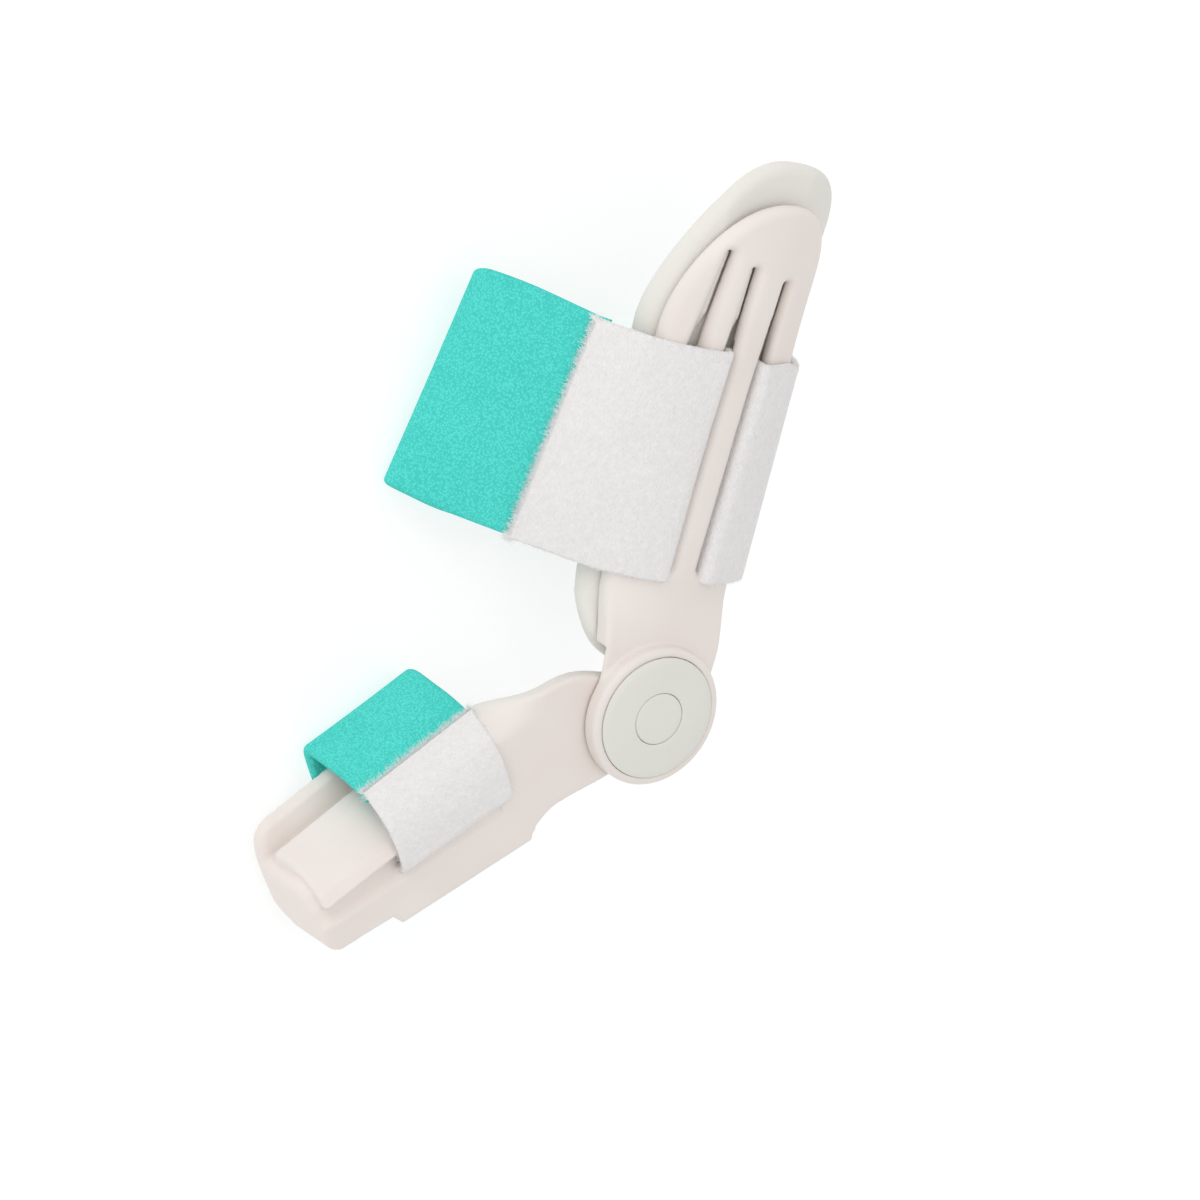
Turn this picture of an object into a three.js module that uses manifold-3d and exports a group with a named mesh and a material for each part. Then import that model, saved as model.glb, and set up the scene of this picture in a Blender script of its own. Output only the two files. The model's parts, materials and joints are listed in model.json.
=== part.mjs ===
// A hinged bunion corrector: a slotted foot plate with a soft liner and a wide foot strap, and a toe tray
// with a narrow toe strap, joined by a riveted hinge. Millimetres. The splint is drawn in its hinge frame,
// where +X runs up the foot plate, +Z comes out of the hinge cap and Z 0 is the top of the boss, and is then
// laid on its straps.
import * as THREE from 'three';
import { mergeVertices } from 'three/addons/utils/BufferGeometryUtils.js';
import Module from 'manifold-3d';

// Hinge
const capRadius = 13;
const capRecess = 1.2;
const capBevel = 0.7;
const capDome = 0.9;
const pinHeadRadius = 5.6;
const pinShaftRadius = 3;
const pinBackHeight = 1.2;
const bossRadius = 15.1;
const bossRounding = 1.2;
const bossHeight = 3.2;
const footHubThickness = 4.2;
const toeHubRadius = 12.4;
const restBend = 55.4;

// Foot plate
const armThickness = 5;
const forkThickness = 4;
const crownRadius = 30;
const crownStart = 12;
const crownFull = 27;
const armHalfWidth = 13.2;
const forkHalfWidth = 17.5;
const forkWidest = 81;
const forkLength = 110.4;
const pocketShoulder = 13.2;
const ribHalfWidth = 3.3;
const slotWidth = 2.6;
const outerRibInset = 12.4;
const outerSlotWidth = 1.8;
const slotStart = 29.3;
const slotEnd = 95;
const slotStagger = 2;
const slotLean = 1.2;
const outerSlotLean = 5;
const slotBend = 14;
const neckEase = 0.8;

// Foot liner
const linerThickness = 4.5;
const linerEdge = 1.8;
const linerStart = 7.6;
const linerEnd = 118;
const linerHeel = 14;

// Straps
const tapeThickness = 1.4;
const foamThickness = 2.6;
const strapLap = 2.5;
const footStrapStart = 28.5;
const footStrapWidth = 50.5;
const footLoopReachLow = 50;
const footLoopReachHigh = 40;
const footLoopCreaseDepth = 46.5;
const creaseLift = 2.8;
const creaseTaper = 2.4;
const creaseToStopLow = 14;
const creaseToStopHigh = 12.5;
const loopSlip = 10.5;
const footStrapTaper = 2.3;
const footLoopDepth = 50;
const footBackStart = -6;
const tapeTail = 9;
const creaseBow = 1.6;
const tapeCorner = 1.8;
const foamCorner = 5;
const restSlope = 0.187;

// Toe plate
const toeArmThickness = 3.7;
const toeArmLower = -9.5;
const toeArmUpper = 17;
const toeWall = 3.4;
const trayStart = 31;
const trayEnd = 83;
const trayDepth = 30;
const trayRise = 0.155;
const ridgeReach = 8.2;
const skirtDrop = 13.6;
const skirtStart = 30.5;
const skirtEnd = 68;
const notchRise = 1.9;
const tongueHeight = 2;
const tongueEnd = 80.6;
const tipLip = 1.6;
const tipWall = 2.6;

// Toe strap
const toeStrapStart = 34.5;
const toeStrapWidth = 28.5;
const toeStrapTop = 19.8;
const toeStrapBottom = -15.5;
const toeStrapTaper = 4;
const toeSlotPlace = -2.8;
const toeSlotSlope = 0.075;
const toeTapeTail = 9.5;
const toeTapeEndDepth = 10.4;
const toeShoulderDepth = 17;
const toeCreaseDepth = 33;
const toeBackHalf = 8;
const toeReturnDepth = 27;
const toeInnerDepth = 15;

// Clearances
const gap = 0.3;
const bearingGap = 0.3;
const slotGap = 0.5;

const wasm = await Module();
wasm.setup();

const deg = Math.PI / 180;
const armFace = -bossHeight;
const plateBack = armFace - armThickness;
const toeFace = -footHubThickness - bearingGap;
const toeHubBack = toeFace - toeArmThickness;
const capSeat = gap - capRecess;
const vec2 = (x, y) => new THREE.Vector2(x, y);
const spot = (x, y, shift = 0) => new THREE.Vector3(x, y, shift);

// Closed solids from vertices and triangles, turned so that every face points out
function closedGeometry(vertices, triangles) {
  let volume = 0;
  for (const [a, b, c] of triangles) {
    volume += vertices[a].dot(new THREE.Vector3().crossVectors(vertices[b], vertices[c]));
  }
  const index = triangles.flatMap(([a, b, c]) => (volume > 0 ? [a, b, c] : [a, c, b]));
  const geometry = new THREE.BufferGeometry();
  const positions = vertices.flatMap((vertex) => vertex.toArray());
  geometry.setAttribute('position', new THREE.Float32BufferAttribute(positions, 3));
  geometry.setIndex(index);
  return geometry;
}

function toSolid(geometry) {
  const bare = geometry.clone();
  bare.deleteAttribute('normal');
  bare.deleteAttribute('uv');
  const merged = mergeVertices(bare, 1e-4);
  const vertProperties = new Float32Array(merged.attributes.position.array);
  const triVerts = new Uint32Array(merged.index.array);
  return new wasm.Manifold(new wasm.Mesh({ numProp: 3, vertProperties, triVerts }));
}

function toGeometry(solid) {
  const mesh = solid.getMesh();
  const geometry = new THREE.BufferGeometry();
  geometry.setAttribute('position', new THREE.Float32BufferAttribute(mesh.vertProperties, 3));
  geometry.setIndex(Array.from(mesh.triVerts));
  return geometry;
}

// Straight prism of an outline between two levels of Z
function prism(outline, bottom, top) {
  const shape = new THREE.Shape(outline);
  const geometry = new THREE.ExtrudeGeometry(shape, { depth: top - bottom, bevelEnabled: false });
  geometry.translate(0, 0, bottom);
  return toSolid(geometry);
}

// Round solid about Z from a profile of [radius, height] pairs
function turned(profile, segments = 40) {
  const geometry = new THREE.LatheGeometry(profile.map(([r, z]) => vec2(r, z)), segments);
  geometry.rotateX(Math.PI / 2);
  return geometry;
}

function disc(radius, bottom, top, segments = 40) {
  return toSolid(turned([[0, bottom], [radius, bottom], [radius, top], [0, top]], segments));
}

// Solid between two height fields over a grid of X and Y stations
function slab(xs, ys, upper, lower) {
  const vertices = [];
  const at = (layer, i, j) => (layer * xs.length + i) * ys.length + j;
  for (const height of [upper, lower]) {
    for (const x of xs) {
      for (const y of ys) {
        vertices.push(new THREE.Vector3(x, y, height(x, y)));
      }
    }
  }
  const triangles = [];
  const quad = (a, b, c, d) => triangles.push([a, b, c], [a, c, d]);
  const lastX = xs.length - 1;
  const lastY = ys.length - 1;
  for (let i = 0; i < lastX; i += 1) {
    for (let j = 0; j < lastY; j += 1) {
      quad(at(0, i, j), at(0, i + 1, j), at(0, i + 1, j + 1), at(0, i, j + 1));
      quad(at(1, i, j), at(1, i, j + 1), at(1, i + 1, j + 1), at(1, i + 1, j));
    }
    quad(at(0, i, 0), at(1, i, 0), at(1, i + 1, 0), at(0, i + 1, 0));
    quad(at(0, i, lastY), at(0, i + 1, lastY), at(1, i + 1, lastY), at(1, i, lastY));
  }
  for (let j = 0; j < lastY; j += 1) {
    quad(at(0, 0, j), at(0, 0, j + 1), at(1, 0, j + 1), at(1, 0, j));
    quad(at(0, lastX, j), at(1, lastX, j), at(1, lastX, j + 1), at(0, lastX, j + 1));
  }
  return toSolid(closedGeometry(vertices, triangles));
}

// Polyline with each inner corner rounded; Z carries how far a strap's corner is shifted along its width
function roundedPath(corners, radius, steps = 4) {
  const path = [corners[0].clone()];
  for (let i = 1; i < corners.length - 1; i += 1) {
    const [before, corner, after] = [corners[i - 1], corners[i], corners[i + 1]];
    const reach = Math.min(radius, corner.distanceTo(before) * 0.45, corner.distanceTo(after) * 0.45);
    const start = corner.clone().add(before.clone().sub(corner).setLength(reach));
    const end = corner.clone().add(after.clone().sub(corner).setLength(reach));
    path.push(...new THREE.QuadraticBezierCurve3(start, corner.clone(), end).getPoints(steps));
  }
  path.push(corners[corners.length - 1].clone());
  return path;
}

function offsetPath(path, distance) {
  return path.map((point, i) => {
    const before = path[Math.max(i - 1, 0)];
    const after = path[Math.min(i + 1, path.length - 1)];
    const tangent = vec2(after.x - before.x, after.y - before.y).normalize();
    return spot(point.x - tangent.y * distance, point.y + tangent.x * distance, point.z);
  });
}

// Loft through rings of 3D points that match one to one, closed at both ends by the first ring's triangles
function loft(rings, capTriangles) {
  const count = rings[0].length;
  const vertices = rings.flat();
  const last = (rings.length - 1) * count;
  const triangles = [];
  for (let k = 0; k < rings.length - 1; k += 1) {
    for (let i = 0; i < count; i += 1) {
      const j = (i + 1) % count;
      const [a, b] = [k * count + i, k * count + j];
      triangles.push([a, b, b + count], [a, b + count, a + count]);
    }
  }
  for (const [a, b, c] of capTriangles) {
    triangles.push([a, c, b], [last + a, last + b, last + c]);
  }
  return closedGeometry(vertices, triangles);
}

// Band of even thickness between two end sections; place(point, share) turns a section point into a 3D point
function band(lowPath, highPath, inner, outer, place, stations = 5) {
  const section = (path) => [...offsetPath(path, inner), ...offsetPath(path, outer).reverse()];
  const low = section(lowPath);
  const high = section(highPath);
  const rings = [];
  for (let k = 0; k < stations; k += 1) {
    const share = k / (stations - 1);
    rings.push(low.map((point, i) => place(point.clone().lerp(high[i], share), share)));
  }
  const count = low.length;
  const caps = [];
  for (let i = 0; i < count / 2 - 1; i += 1) {
    const [a, b, c, d] = [i, i + 1, count - 2 - i, count - 1 - i];
    caps.push([a, b, c], [a, c, d]);
  }
  return loft(rings, caps);
}

// Depth that the foot plate falls away behind its middle line, at a place on it
function crownDrop(x, y) {
  const rise = THREE.MathUtils.smoothstep(x, crownStart, crownFull);
  const relax = 1 - 0.35 * THREE.MathUtils.smoothstep(x, forkWidest, forkLength);
  const reach = Math.min(Math.abs(y), crownRadius * 0.95);
  return (crownRadius - Math.sqrt(crownRadius ** 2 - reach ** 2)) * rise * relax;
}

function plateThickness(x) {
  const thin = THREE.MathUtils.smoothstep(x, crownStart, crownFull);
  return armThickness + (forkThickness - armThickness) * thin;
}

// Grid of the plate and the liner: stations are closer where the crown grows and where it relaxes
function stationsBetween(from, to, count) {
  return Array.from({ length: count }, (_, i) => from + ((to - from) * i) / count);
}

const plateStations = [
  -bossRadius - 5,
  ...stationsBetween(crownStart, crownFull, 5),
  crownFull,
  ...stationsBetween(forkWidest, forkLength, 4),
  forkLength,
  linerEnd + 4,
];
const plateGridHalf = forkHalfWidth + linerEdge + 4.7;
const plateColumns = [...stationsBetween(-plateGridHalf, plateGridHalf, 24), plateGridHalf];

// Outline of the plate or the liner: straight flanks, a long sweep on the left, a tighter corner on the right
function paddleOutline({ start, startHalf, neckRight, half, end, fullness, corner }) {
  const tip = end - forkWidest;
  const curve = new THREE.Path();
  curve.moveTo(start, startHalf);
  curve.lineTo(crownFull, half * 0.93);
  curve.lineTo(forkWidest, half);
  curve.bezierCurveTo(forkWidest + tip * fullness, half * 0.97, end, half * 0.5, end, -half * 0.2);
  curve.bezierCurveTo(end, -half * 0.78, end - tip * 0.4 * corner, -half, end - tip * corner, -half);
  curve.lineTo(crownFull * 1.6, -half);
  curve.lineTo(crownFull, -neckRight);
  curve.lineTo(start, -startHalf);
  return curve.getPoints(10);
}

// Slot along the plate from its lower end to its upper one, with round ends
function slotSolid(lowCentre, bendCentre, highCentre, end, width) {
  const [bottom, top] = [plateBack - crownRadius, 1];
  const bendX = forkWidest - slotBend / 2;
  const path = [spot(slotStart, lowCentre), spot(bendX, bendCentre), spot(end, highCentre)];
  const centre = roundedPath(path, slotBend, 5);
  const outline = [...offsetPath(centre, width / 2), ...offsetPath(centre, -width / 2).reverse()];
  const round = (x, y) => disc(width / 2, bottom, top, 12).translate([x, y, 0]);
  return prism(outline, bottom, top).add(round(slotStart, lowCentre)).add(round(end, highCentre));
}

function makeFootPlate() {
  const outline = paddleOutline({
    start: -1,
    startHalf: armHalfWidth,
    neckRight: armHalfWidth + neckEase,
    half: forkHalfWidth,
    end: forkLength,
    fullness: 0.55,
    corner: 0.46,
  });
  const face = (x, y) => armFace - crownDrop(x, y);
  const back = (x, y) => face(x, y) - plateThickness(x);
  const column = prism(outline, plateBack - crownRadius, 1);
  let plate = slab(plateStations, plateColumns, face, back).intersect(column);
  const boss = turned([
    [0, -footHubThickness],
    [bossRadius, -footHubThickness],
    [bossRadius, -bossRounding],
    [bossRadius - bossRounding * 0.3, -bossRounding * 0.3],
    [bossRadius - bossRounding, 0],
    [capRadius + gap, 0],
    [capRadius + gap, -capRecess],
    [0, -capRecess],
  ]);
  plate = plate.add(toSolid(boss));
  const pocket = new THREE.BoxGeometry(4 * bossRadius, 5 * bossRadius, crownRadius);
  pocket.translate(pocketShoulder - 2 * bossRadius, 0, -footHubThickness - crownRadius / 2);
  plate = plate.subtract(toSolid(pocket));
  const inner = slotLine;
  const outer = outerRibInset + outerSlotWidth / 2;
  const [leftEnd, rightEnd] = [slotEnd + slotStagger, slotEnd - slotStagger / 2];
  const outerEnd = slotEnd + 2 * slotStagger;
  plate = plate.subtract(slotSolid(inner, inner, inner - slotLean, leftEnd, slotWidth));
  plate = plate.subtract(slotSolid(-inner, -inner, slotLean / 2 - inner, rightEnd, slotWidth));
  plate = plate.subtract(slotSolid(outer - 1, outer, outer - outerSlotLean, outerEnd, outerSlotWidth));
  const reliefWidth = footStrapWidth + 6 * slotGap;
  const relief = new THREE.BoxGeometry(reliefWidth, 2 * (ribHalfWidth + slotWidth), crownRadius);
  const ribBack = armFace - forkThickness + tapeThickness + gap;
  relief.translate(footStrapStart + footStrapWidth / 2, 0, ribBack - crownRadius / 2);
  plate = plate.subtract(toSolid(relief));
  return toGeometry(plate.subtract(disc(pinShaftRadius + gap, -footHubThickness - 1, 1, 24)));
}

function makeFootLiner() {
  const half = forkHalfWidth + linerEdge;
  const shoulder = half * 0.93;
  const flank = paddleOutline({
    start: linerStart + linerHeel,
    startHalf: shoulder,
    neckRight: shoulder,
    half,
    end: linerEnd,
    fullness: 0.42,
    corner: 0.36,
  });
  const heel = linerStart + linerHeel * 0.43;
  const low = new THREE.Path();
  low.moveTo(flank[flank.length - 1].x, flank[flank.length - 1].y);
  low.bezierCurveTo(heel, -half * 0.9, linerStart, -half * 0.6, linerStart, 0);
  low.bezierCurveTo(linerStart, half * 0.6, heel, half * 0.9, flank[0].x, flank[0].y);
  const outline = [...flank, ...low.getPoints(8).slice(1, -1)];
  const face = (x, y) => armFace - crownDrop(x, y) - plateThickness(x) - gap;
  const floor = (x, y) => Math.min(face(x, y), toeHubBack - gap);
  const back = (x, y) => floor(x, y) - linerThickness;
  const pad = slab(plateStations, plateColumns, floor, back);
  return toGeometry(pad.intersect(prism(outline, plateBack - crownRadius - linerThickness, 1)));
}

function makeHingeCap() {
  const bore = pinHeadRadius + gap;
  return turned([
    [bore, capSeat],
    [capRadius, capSeat],
    [capRadius, 0],
    [capRadius - capBevel, capBevel * 0.5],
    [capRadius * 0.75, capDome * 0.75],
    [bore, capDome],
    [bore, capSeat],
  ], 48);
}

function makePivotPin() {
  return turned([
    [0, toeHubBack - gap - pinBackHeight],
    [pinHeadRadius, toeHubBack - gap - pinBackHeight],
    [pinHeadRadius, toeHubBack - gap],
    [pinShaftRadius, toeHubBack - gap],
    [pinShaftRadius, capSeat],
    [pinHeadRadius, capSeat],
    [pinHeadRadius, capDome],
    [0, capDome + 0.1],
  ], 32);
}

// Section points of the foot strap hold Y across the plate and the depth behind the hinge
const strapDepth = (y, x = footStrapStart + footStrapWidth / 2) => bossHeight + crownDrop(x, y);
const frontDepth = (y) => strapDepth(y) - gap - tapeThickness / 2;
const ribPassDepth = bossHeight + forkThickness - tapeThickness / 2;
const slotLine = ribHalfWidth + slotWidth / 2;
const plateEdge = forkHalfWidth + slotGap + tapeThickness;
const wrapY = forkHalfWidth + linerEdge + slotGap + tapeThickness;
const tapeEndDepth = strapDepth(wrapY) + tapeTail;

// One end of the foot strap: how far it reaches out at the crease, and how its two sides are shifted
const lowEnd = {
  x: footStrapStart,
  reach: footLoopReachLow,
  toStop: creaseToStopLow,
  lift: creaseLift,
  taper: 0,
};
const highEnd = {
  x: footStrapStart + footStrapWidth,
  reach: footLoopReachHigh,
  toStop: creaseToStopHigh,
  lift: creaseLift - creaseTaper,
  taper: footStrapTaper,
};

// Where the white tape stops on the foam
const tapeStop = (end) => spot(end.reach - end.toStop, footLoopCreaseDepth * 0.445);

function footTapePath(end) {
  const right = -end.taper;
  const over = [-plateEdge, -0.77 * plateEdge, -0.57 * plateEdge, -slotLine];
  const left = [slotLine, 0.49 * plateEdge, 0.67 * plateEdge, 0.825 * plateEdge, plateEdge];
  return [
    spot(-wrapY, tapeEndDepth, right),
    spot(-wrapY, strapDepth(wrapY) + tapeTail / 3, right),
    ...over.map((y) => spot(y, frontDepth(y), right)),
    spot(-slotLine, ribPassDepth, right),
    spot(slotLine, ribPassDepth),
    ...left.map((y) => spot(y, frontDepth(y))),
    tapeStop(end),
  ];
}

// Depth of the surface that the straps lie on, which slopes along X
function restDepth(x) {
  return footLoopDepth + restSlope * (x - footStrapStart - footStrapWidth * 0.4);
}

// Line on which the foam turns up under the tape: inward of the tape's end by half the tape and the gap
function lapCorners(before, stop, lap) {
  const along = vec2(stop.x - before.x, stop.y - before.y).normalize();
  const inward = gap + tapeThickness / 2;
  const turn = spot(stop.x - along.y * inward, stop.y + along.x * inward);
  return [spot(turn.x - along.x * lap, turn.y - along.y * lap), turn];
}

function footFoamPath(end) {
  const stop = tapeStop(end);
  const bowY = THREE.MathUtils.lerp(stop.x, end.reach, 0.55) + creaseBow;
  const onRest = (y, shift) => spot(y, restDepth(end.x + shift), shift);
  return [
    ...lapCorners(spot(plateEdge, frontDepth(plateEdge)), stop, strapLap),
    spot(bowY, THREE.MathUtils.lerp(stop.y, footLoopCreaseDepth, 0.5), end.lift * 0.5),
    spot(end.reach, footLoopCreaseDepth, end.lift),
    onRest(end.reach * 0.64, -loopSlip * 0.4),
    onRest(footBackStart, -loopSlip),
    spot(-0.876 * plateEdge, 0.72 * footLoopDepth, -loopSlip * 0.9),
    spot(-wrapY, tapeEndDepth + slotGap, -end.taper - 1),
  ];
}

function placeFoot(point, share) {
  return spot(footStrapStart + footStrapWidth * share + point.z, point.x, -point.y);
}

function makeFootStrapTape() {
  const [low, high] = [lowEnd, highEnd].map((end) => roundedPath(footTapePath(end), tapeCorner, 3));
  return band(low, high, -tapeThickness / 2, tapeThickness / 2, placeFoot, 2);
}

function makeFootStrapFoam() {
  const [low, high] = [lowEnd, highEnd].map((end) => roundedPath(footFoamPath(end), foamCorner, 4));
  return band(low, high, 0, foamThickness, placeFoot, 5);
}

// Toe frame: +X to the toe tip, -Y to the ridge side, depths counted behind the boss as on the foot plate
const toePoint = (t, p, depth) => new THREE.Vector3(t, -p, -depth);
const toeDepth = -toeFace;

const trayFall = trayDepth - toeDepth;
const lowerEdge = notchRise - skirtDrop;
const tongueBreak = tongueEnd + 0.5;

// Outer wall of the toe tray around its section. Each row holds shares: across of ridgeReach, depth of
// trayFall, then what the rise and the lip add across, and what the tongue and the lip take off the depth
const trayOuter = [
  [-0.56, 0, 0.3, 0, 0, 0.3],
  [-0.463, 0.063, 0.4, 0, 0, 1],
  [-0.268, 0.075, 0.8, 0, 0, 1],
  [-0.122, 0.063, 1, 0, 0.6, 0],
  [0.122, 0.176, 1.05, 0, 1, 0],
  [0.439, 0.318, 1.08, 0, 0, 0],
  [0.61, 0.494, 1.08, 0, 0, 0],
  [0.683, 0.647, 1.05, 0, 0, 0],
  [0.36, 0.7, 1.05, 1, 0, 0],
  [0.42, 0.79, 1, 1, 0, 0],
  [0.902, 0.847, 1, 0, 0, 0],
  [1, 0.906, 1, 0, 0, 0],
  [0.951, 0.976, 1, 0, 0, 0],
  [0.78, 1, 1, 0, 0, 0],
];

// Shares by which the outer rows draw in past the tongue, of the tongue's height
const tongueDraw = [0, 0, 0, 0.3, 0, 0.4, 0.9, 0.95, 0, 0, 0, 0, 0, 0];

// Inner wall as shares: across of ridgeReach, depth of trayFall, rise, and depth of toeWall
const trayInner = [
  [0.366, 0.953, 1, 0],
  [0.122, 0.671, 1, 0],
  [-0.073, 0.412, 0.95, 0],
  [-0.415, 0.118, 0.75, 1],
  [-0.793, 0.031, 0.4, 1],
  [-1.098, 0, 0.2, 1],
];

// Section of the toe tray at a place along it, as points of [across, depth] around the wall
function traySection(t) {
  const rise = (trayEnd - t) * trayRise;
  const past = t > tongueBreak;
  const lip = past ? tipLip : 0;
  const tongue = past ? 0 : tongueHeight;
  const outer = trayOuter.map(([across, depth, rising, lipAcross, tongueOff, lipOff], i) => [
    ridgeReach * across + rise * rising + lip * lipAcross - (tongueHeight - tongue) * tongueDraw[i],
    toeDepth + trayFall * depth - tongue * tongueOff - lip * lipOff,
  ]);
  const inner = trayInner.map(([across, depth, rising, walls]) => [
    ridgeReach * across + rise * rising,
    toeDepth + trayFall * depth + toeWall * walls,
  ]);
  return [[lowerEdge, toeDepth], ...outer, ...inner, [lowerEdge, toeDepth + toeWall]];
}

function makeTray() {
  const shares = [0, 0.12, 0.23, 0.42, 0.62, 0.81];
  const stations = shares.map((share) => trayStart + (trayEnd - trayStart) * share);
  stations.push(tongueBreak - 0.9, tongueBreak - 0.3, tongueBreak + 0.4, trayEnd - 0.6, trayEnd);
  const rings = stations.map((t) => traySection(t).map(([p, depth]) => toePoint(t, p, depth)));
  const section = traySection(stations[0]).map(([p, depth]) => vec2(p, depth));
  return toSolid(loft(rings, THREE.ShapeUtils.triangulateShape(section, [])));
}

// Wall that closes the tray at the tip, from the ridge and the front flange down to a rounded lower edge
function makeTipWall() {
  const upper = traySection(trayEnd).slice(0, trayOuter.length + 1);
  const lower = [
    [-0.24 * ridgeReach, trayDepth * 0.97],
    [-1.04 * ridgeReach, trayDepth * 0.88],
    [lowerEdge * 1.034, trayDepth * 0.62],
    [lowerEdge * 1.017, trayDepth * 0.35],
  ];
  const outline = [...upper, ...lower].map(([p, depth]) => vec2(p, depth));
  const middle = vec2(-0.37 * ridgeReach, trayDepth * 0.55);
  const ring = (t, share) => outline.map((point) => {
    const drawn = point.clone().lerp(middle, share);
    return toePoint(t, drawn.x, drawn.y);
  });
  const round = tipWall * 0.3;
  const rings = [ring(trayEnd - tipWall, 0), ring(trayEnd - round, 0), ring(trayEnd + round / 2, 0.09)];
  return toSolid(loft(rings, THREE.ShapeUtils.triangulateShape(outline, [])));
}

// Flat arm of the toe plate, from the hub to the tray, with the skirt along its lower edge
function makeToeArm() {
  const armEnd = toeStrapStart - 2 * slotGap;
  const hub = toeHubRadius;
  const under = toeArmLower + 0.4;
  const outline = new THREE.Path();
  outline.moveTo(hub * 0.32, hub * 0.887);
  outline.bezierCurveTo(hub * 0.645, hub * 1.09, hub * 0.887, toeArmUpper, hub * 1.45, toeArmUpper);
  outline.lineTo(armEnd, toeArmUpper + 0.6);
  outline.lineTo(armEnd, lowerEdge);
  outline.lineTo(skirtStart + 1.5, lowerEdge);
  outline.bezierCurveTo(skirtStart - 1, under - 1.4, skirtStart - 3, under, skirtStart - 6, under);
  outline.bezierCurveTo(hub * 1.45, under, hub * 1.13, toeArmLower - 0.5, hub * 0.645, toeArmLower);
  const flat = outline.getPoints(6).map((point) => vec2(point.x, -point.y));
  return prism(flat, toeHubBack, toeFace);
}

function makeToePlate() {
  const skirt = [
    [skirtStart + 1, lowerEdge + 0.6],
    [skirtStart + 2.2, -skirtDrop],
    [skirtEnd - 1.8, -skirtDrop - 1],
    [skirtEnd, lowerEdge + 0.6],
  ].map(([t, p]) => vec2(t, -p));
  const slotLow = toeStrapStart - slotGap;
  const slotHigh = toeStrapStart + toeStrapWidth + slotGap;
  const slotHalf = tapeThickness / 2 + slotGap;
  const slot = [
    [slotLow, toeSlotLine(slotLow) - slotHalf],
    [slotHigh, toeSlotLine(slotHigh) - slotHalf],
    [slotHigh, toeSlotLine(slotHigh) + slotHalf],
    [slotLow, toeSlotLine(slotLow) + slotHalf],
  ].map(([t, p]) => vec2(t, -p));
  const solid = makeTray()
    .add(makeTipWall())
    .add(makeToeArm())
    .add(disc(toeHubRadius, toeHubBack, toeFace))
    .add(prism(skirt, toeFace - toeWall, toeFace))
    .subtract(prism(slot, toeFace - toeTapeTail - toeWall, 1))
    .subtract(disc(pinShaftRadius + gap, toeHubBack - 1, 1, 24));
  return toGeometry(solid);
}

// Middle line of the slot that the toe tape goes through
function toeSlotLine(t) {
  return toeSlotPlace + (tongueEnd - skirtStart * 0.58 - t) * toeSlotSlope;
}

// Upper side of the toe strap, which comes down towards the tip
function toeStrapUpper(t) {
  return toeStrapTop - (toeStrapTaper * (t - toeStrapStart)) / toeStrapWidth;
}

// Where the toe tape stops on the foam
function toeTapeStop(t) {
  return spot(toeStrapUpper(t) - 1, toeTapeEndDepth);
}

function toeTapePath(t) {
  const rise = (trayEnd - t) * trayRise;
  const slot = toeSlotLine(t);
  return [
    spot(slot - 0.8, toeDepth + toeTapeTail),
    spot(slot, toeDepth + toeTapeTail * 0.58),
    spot(slot, toeDepth - tapeThickness * 0.93),
    spot(rise + 0.6, toeDepth - tapeThickness * 1.36),
    spot(rise * 1.1 + ridgeReach * 0.66, toeDepth - tapeThickness * 0.14),
    toeTapeStop(t),
  ];
}

// Depth of the resting surface at a point of the toe frame
function toeRestDepth(t, p) {
  const angle = (180 - restBend) * deg;
  return restDepth(t * Math.cos(angle) + p * Math.sin(angle));
}

function toeFoamPath(t) {
  const onRest = (p) => spot(p, toeRestDepth(t, p));
  return [
    ...lapCorners(toeTapePath(t).at(-2), toeTapeStop(t), strapLap * 0.7),
    spot(toeStrapUpper(t) - 0.2, toeShoulderDepth),
    spot(toeStrapUpper(t) + 0.7, toeCreaseDepth),
    onRest(toeBackHalf),
    onRest(-toeBackHalf),
    spot(toeStrapBottom - 0.5, toeReturnDepth),
    spot(toeStrapBottom - 1, toeInnerDepth),
    spot(toeSlotLine(t) - 3.6, toeDepth + toeTapeTail * 0.9),
  ];
}

const placeToe = (point, share) => toePoint(toeStrapStart + toeStrapWidth * share, point.x, point.y);

function makeToeStrapTape() {
  const ends = [toeStrapStart, toeStrapStart + toeStrapWidth];
  const [low, high] = ends.map((t) => roundedPath(toeTapePath(t), tapeCorner * 1.33, 4));
  return band(low, high, -tapeThickness / 2, tapeThickness / 2, placeToe, 2);
}

function makeToeStrapFoam() {
  const ends = [toeStrapStart, toeStrapStart + toeStrapWidth];
  const [low, high] = ends.map((t) => roundedPath(toeFoamPath(t), foamCorner * 0.9, 4));
  return band(low, high, 0, foamThickness, placeToe, 2);
}

const colours = { plastic: 0xf1ede9, liner: 0xe6e9e4, cap: 0xe0dfd9, tape: 0xf3f1f1, foam: 0x54decd };

function named(name, geometry, colour, roughness) {
  const material = new THREE.MeshStandardMaterial({ color: colour, roughness, metalness: 0 });
  const mesh = new THREE.Mesh(geometry, material);
  mesh.name = name;
  return mesh;
}

const foot = new THREE.Group();
foot.add(named('foot_plate', makeFootPlate(), colours.plastic, 0.45));
foot.add(named('foot_liner', makeFootLiner(), colours.liner, 0.8));
foot.add(named('hinge_cap', makeHingeCap(), colours.cap, 0.4));
foot.add(named('pivot_pin', makePivotPin(), colours.cap, 0.4));
foot.add(named('foot_strap_tape', makeFootStrapTape(), colours.tape, 0.95));
foot.add(named('foot_strap_foam', makeFootStrapFoam(), colours.foam, 0.9));

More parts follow.
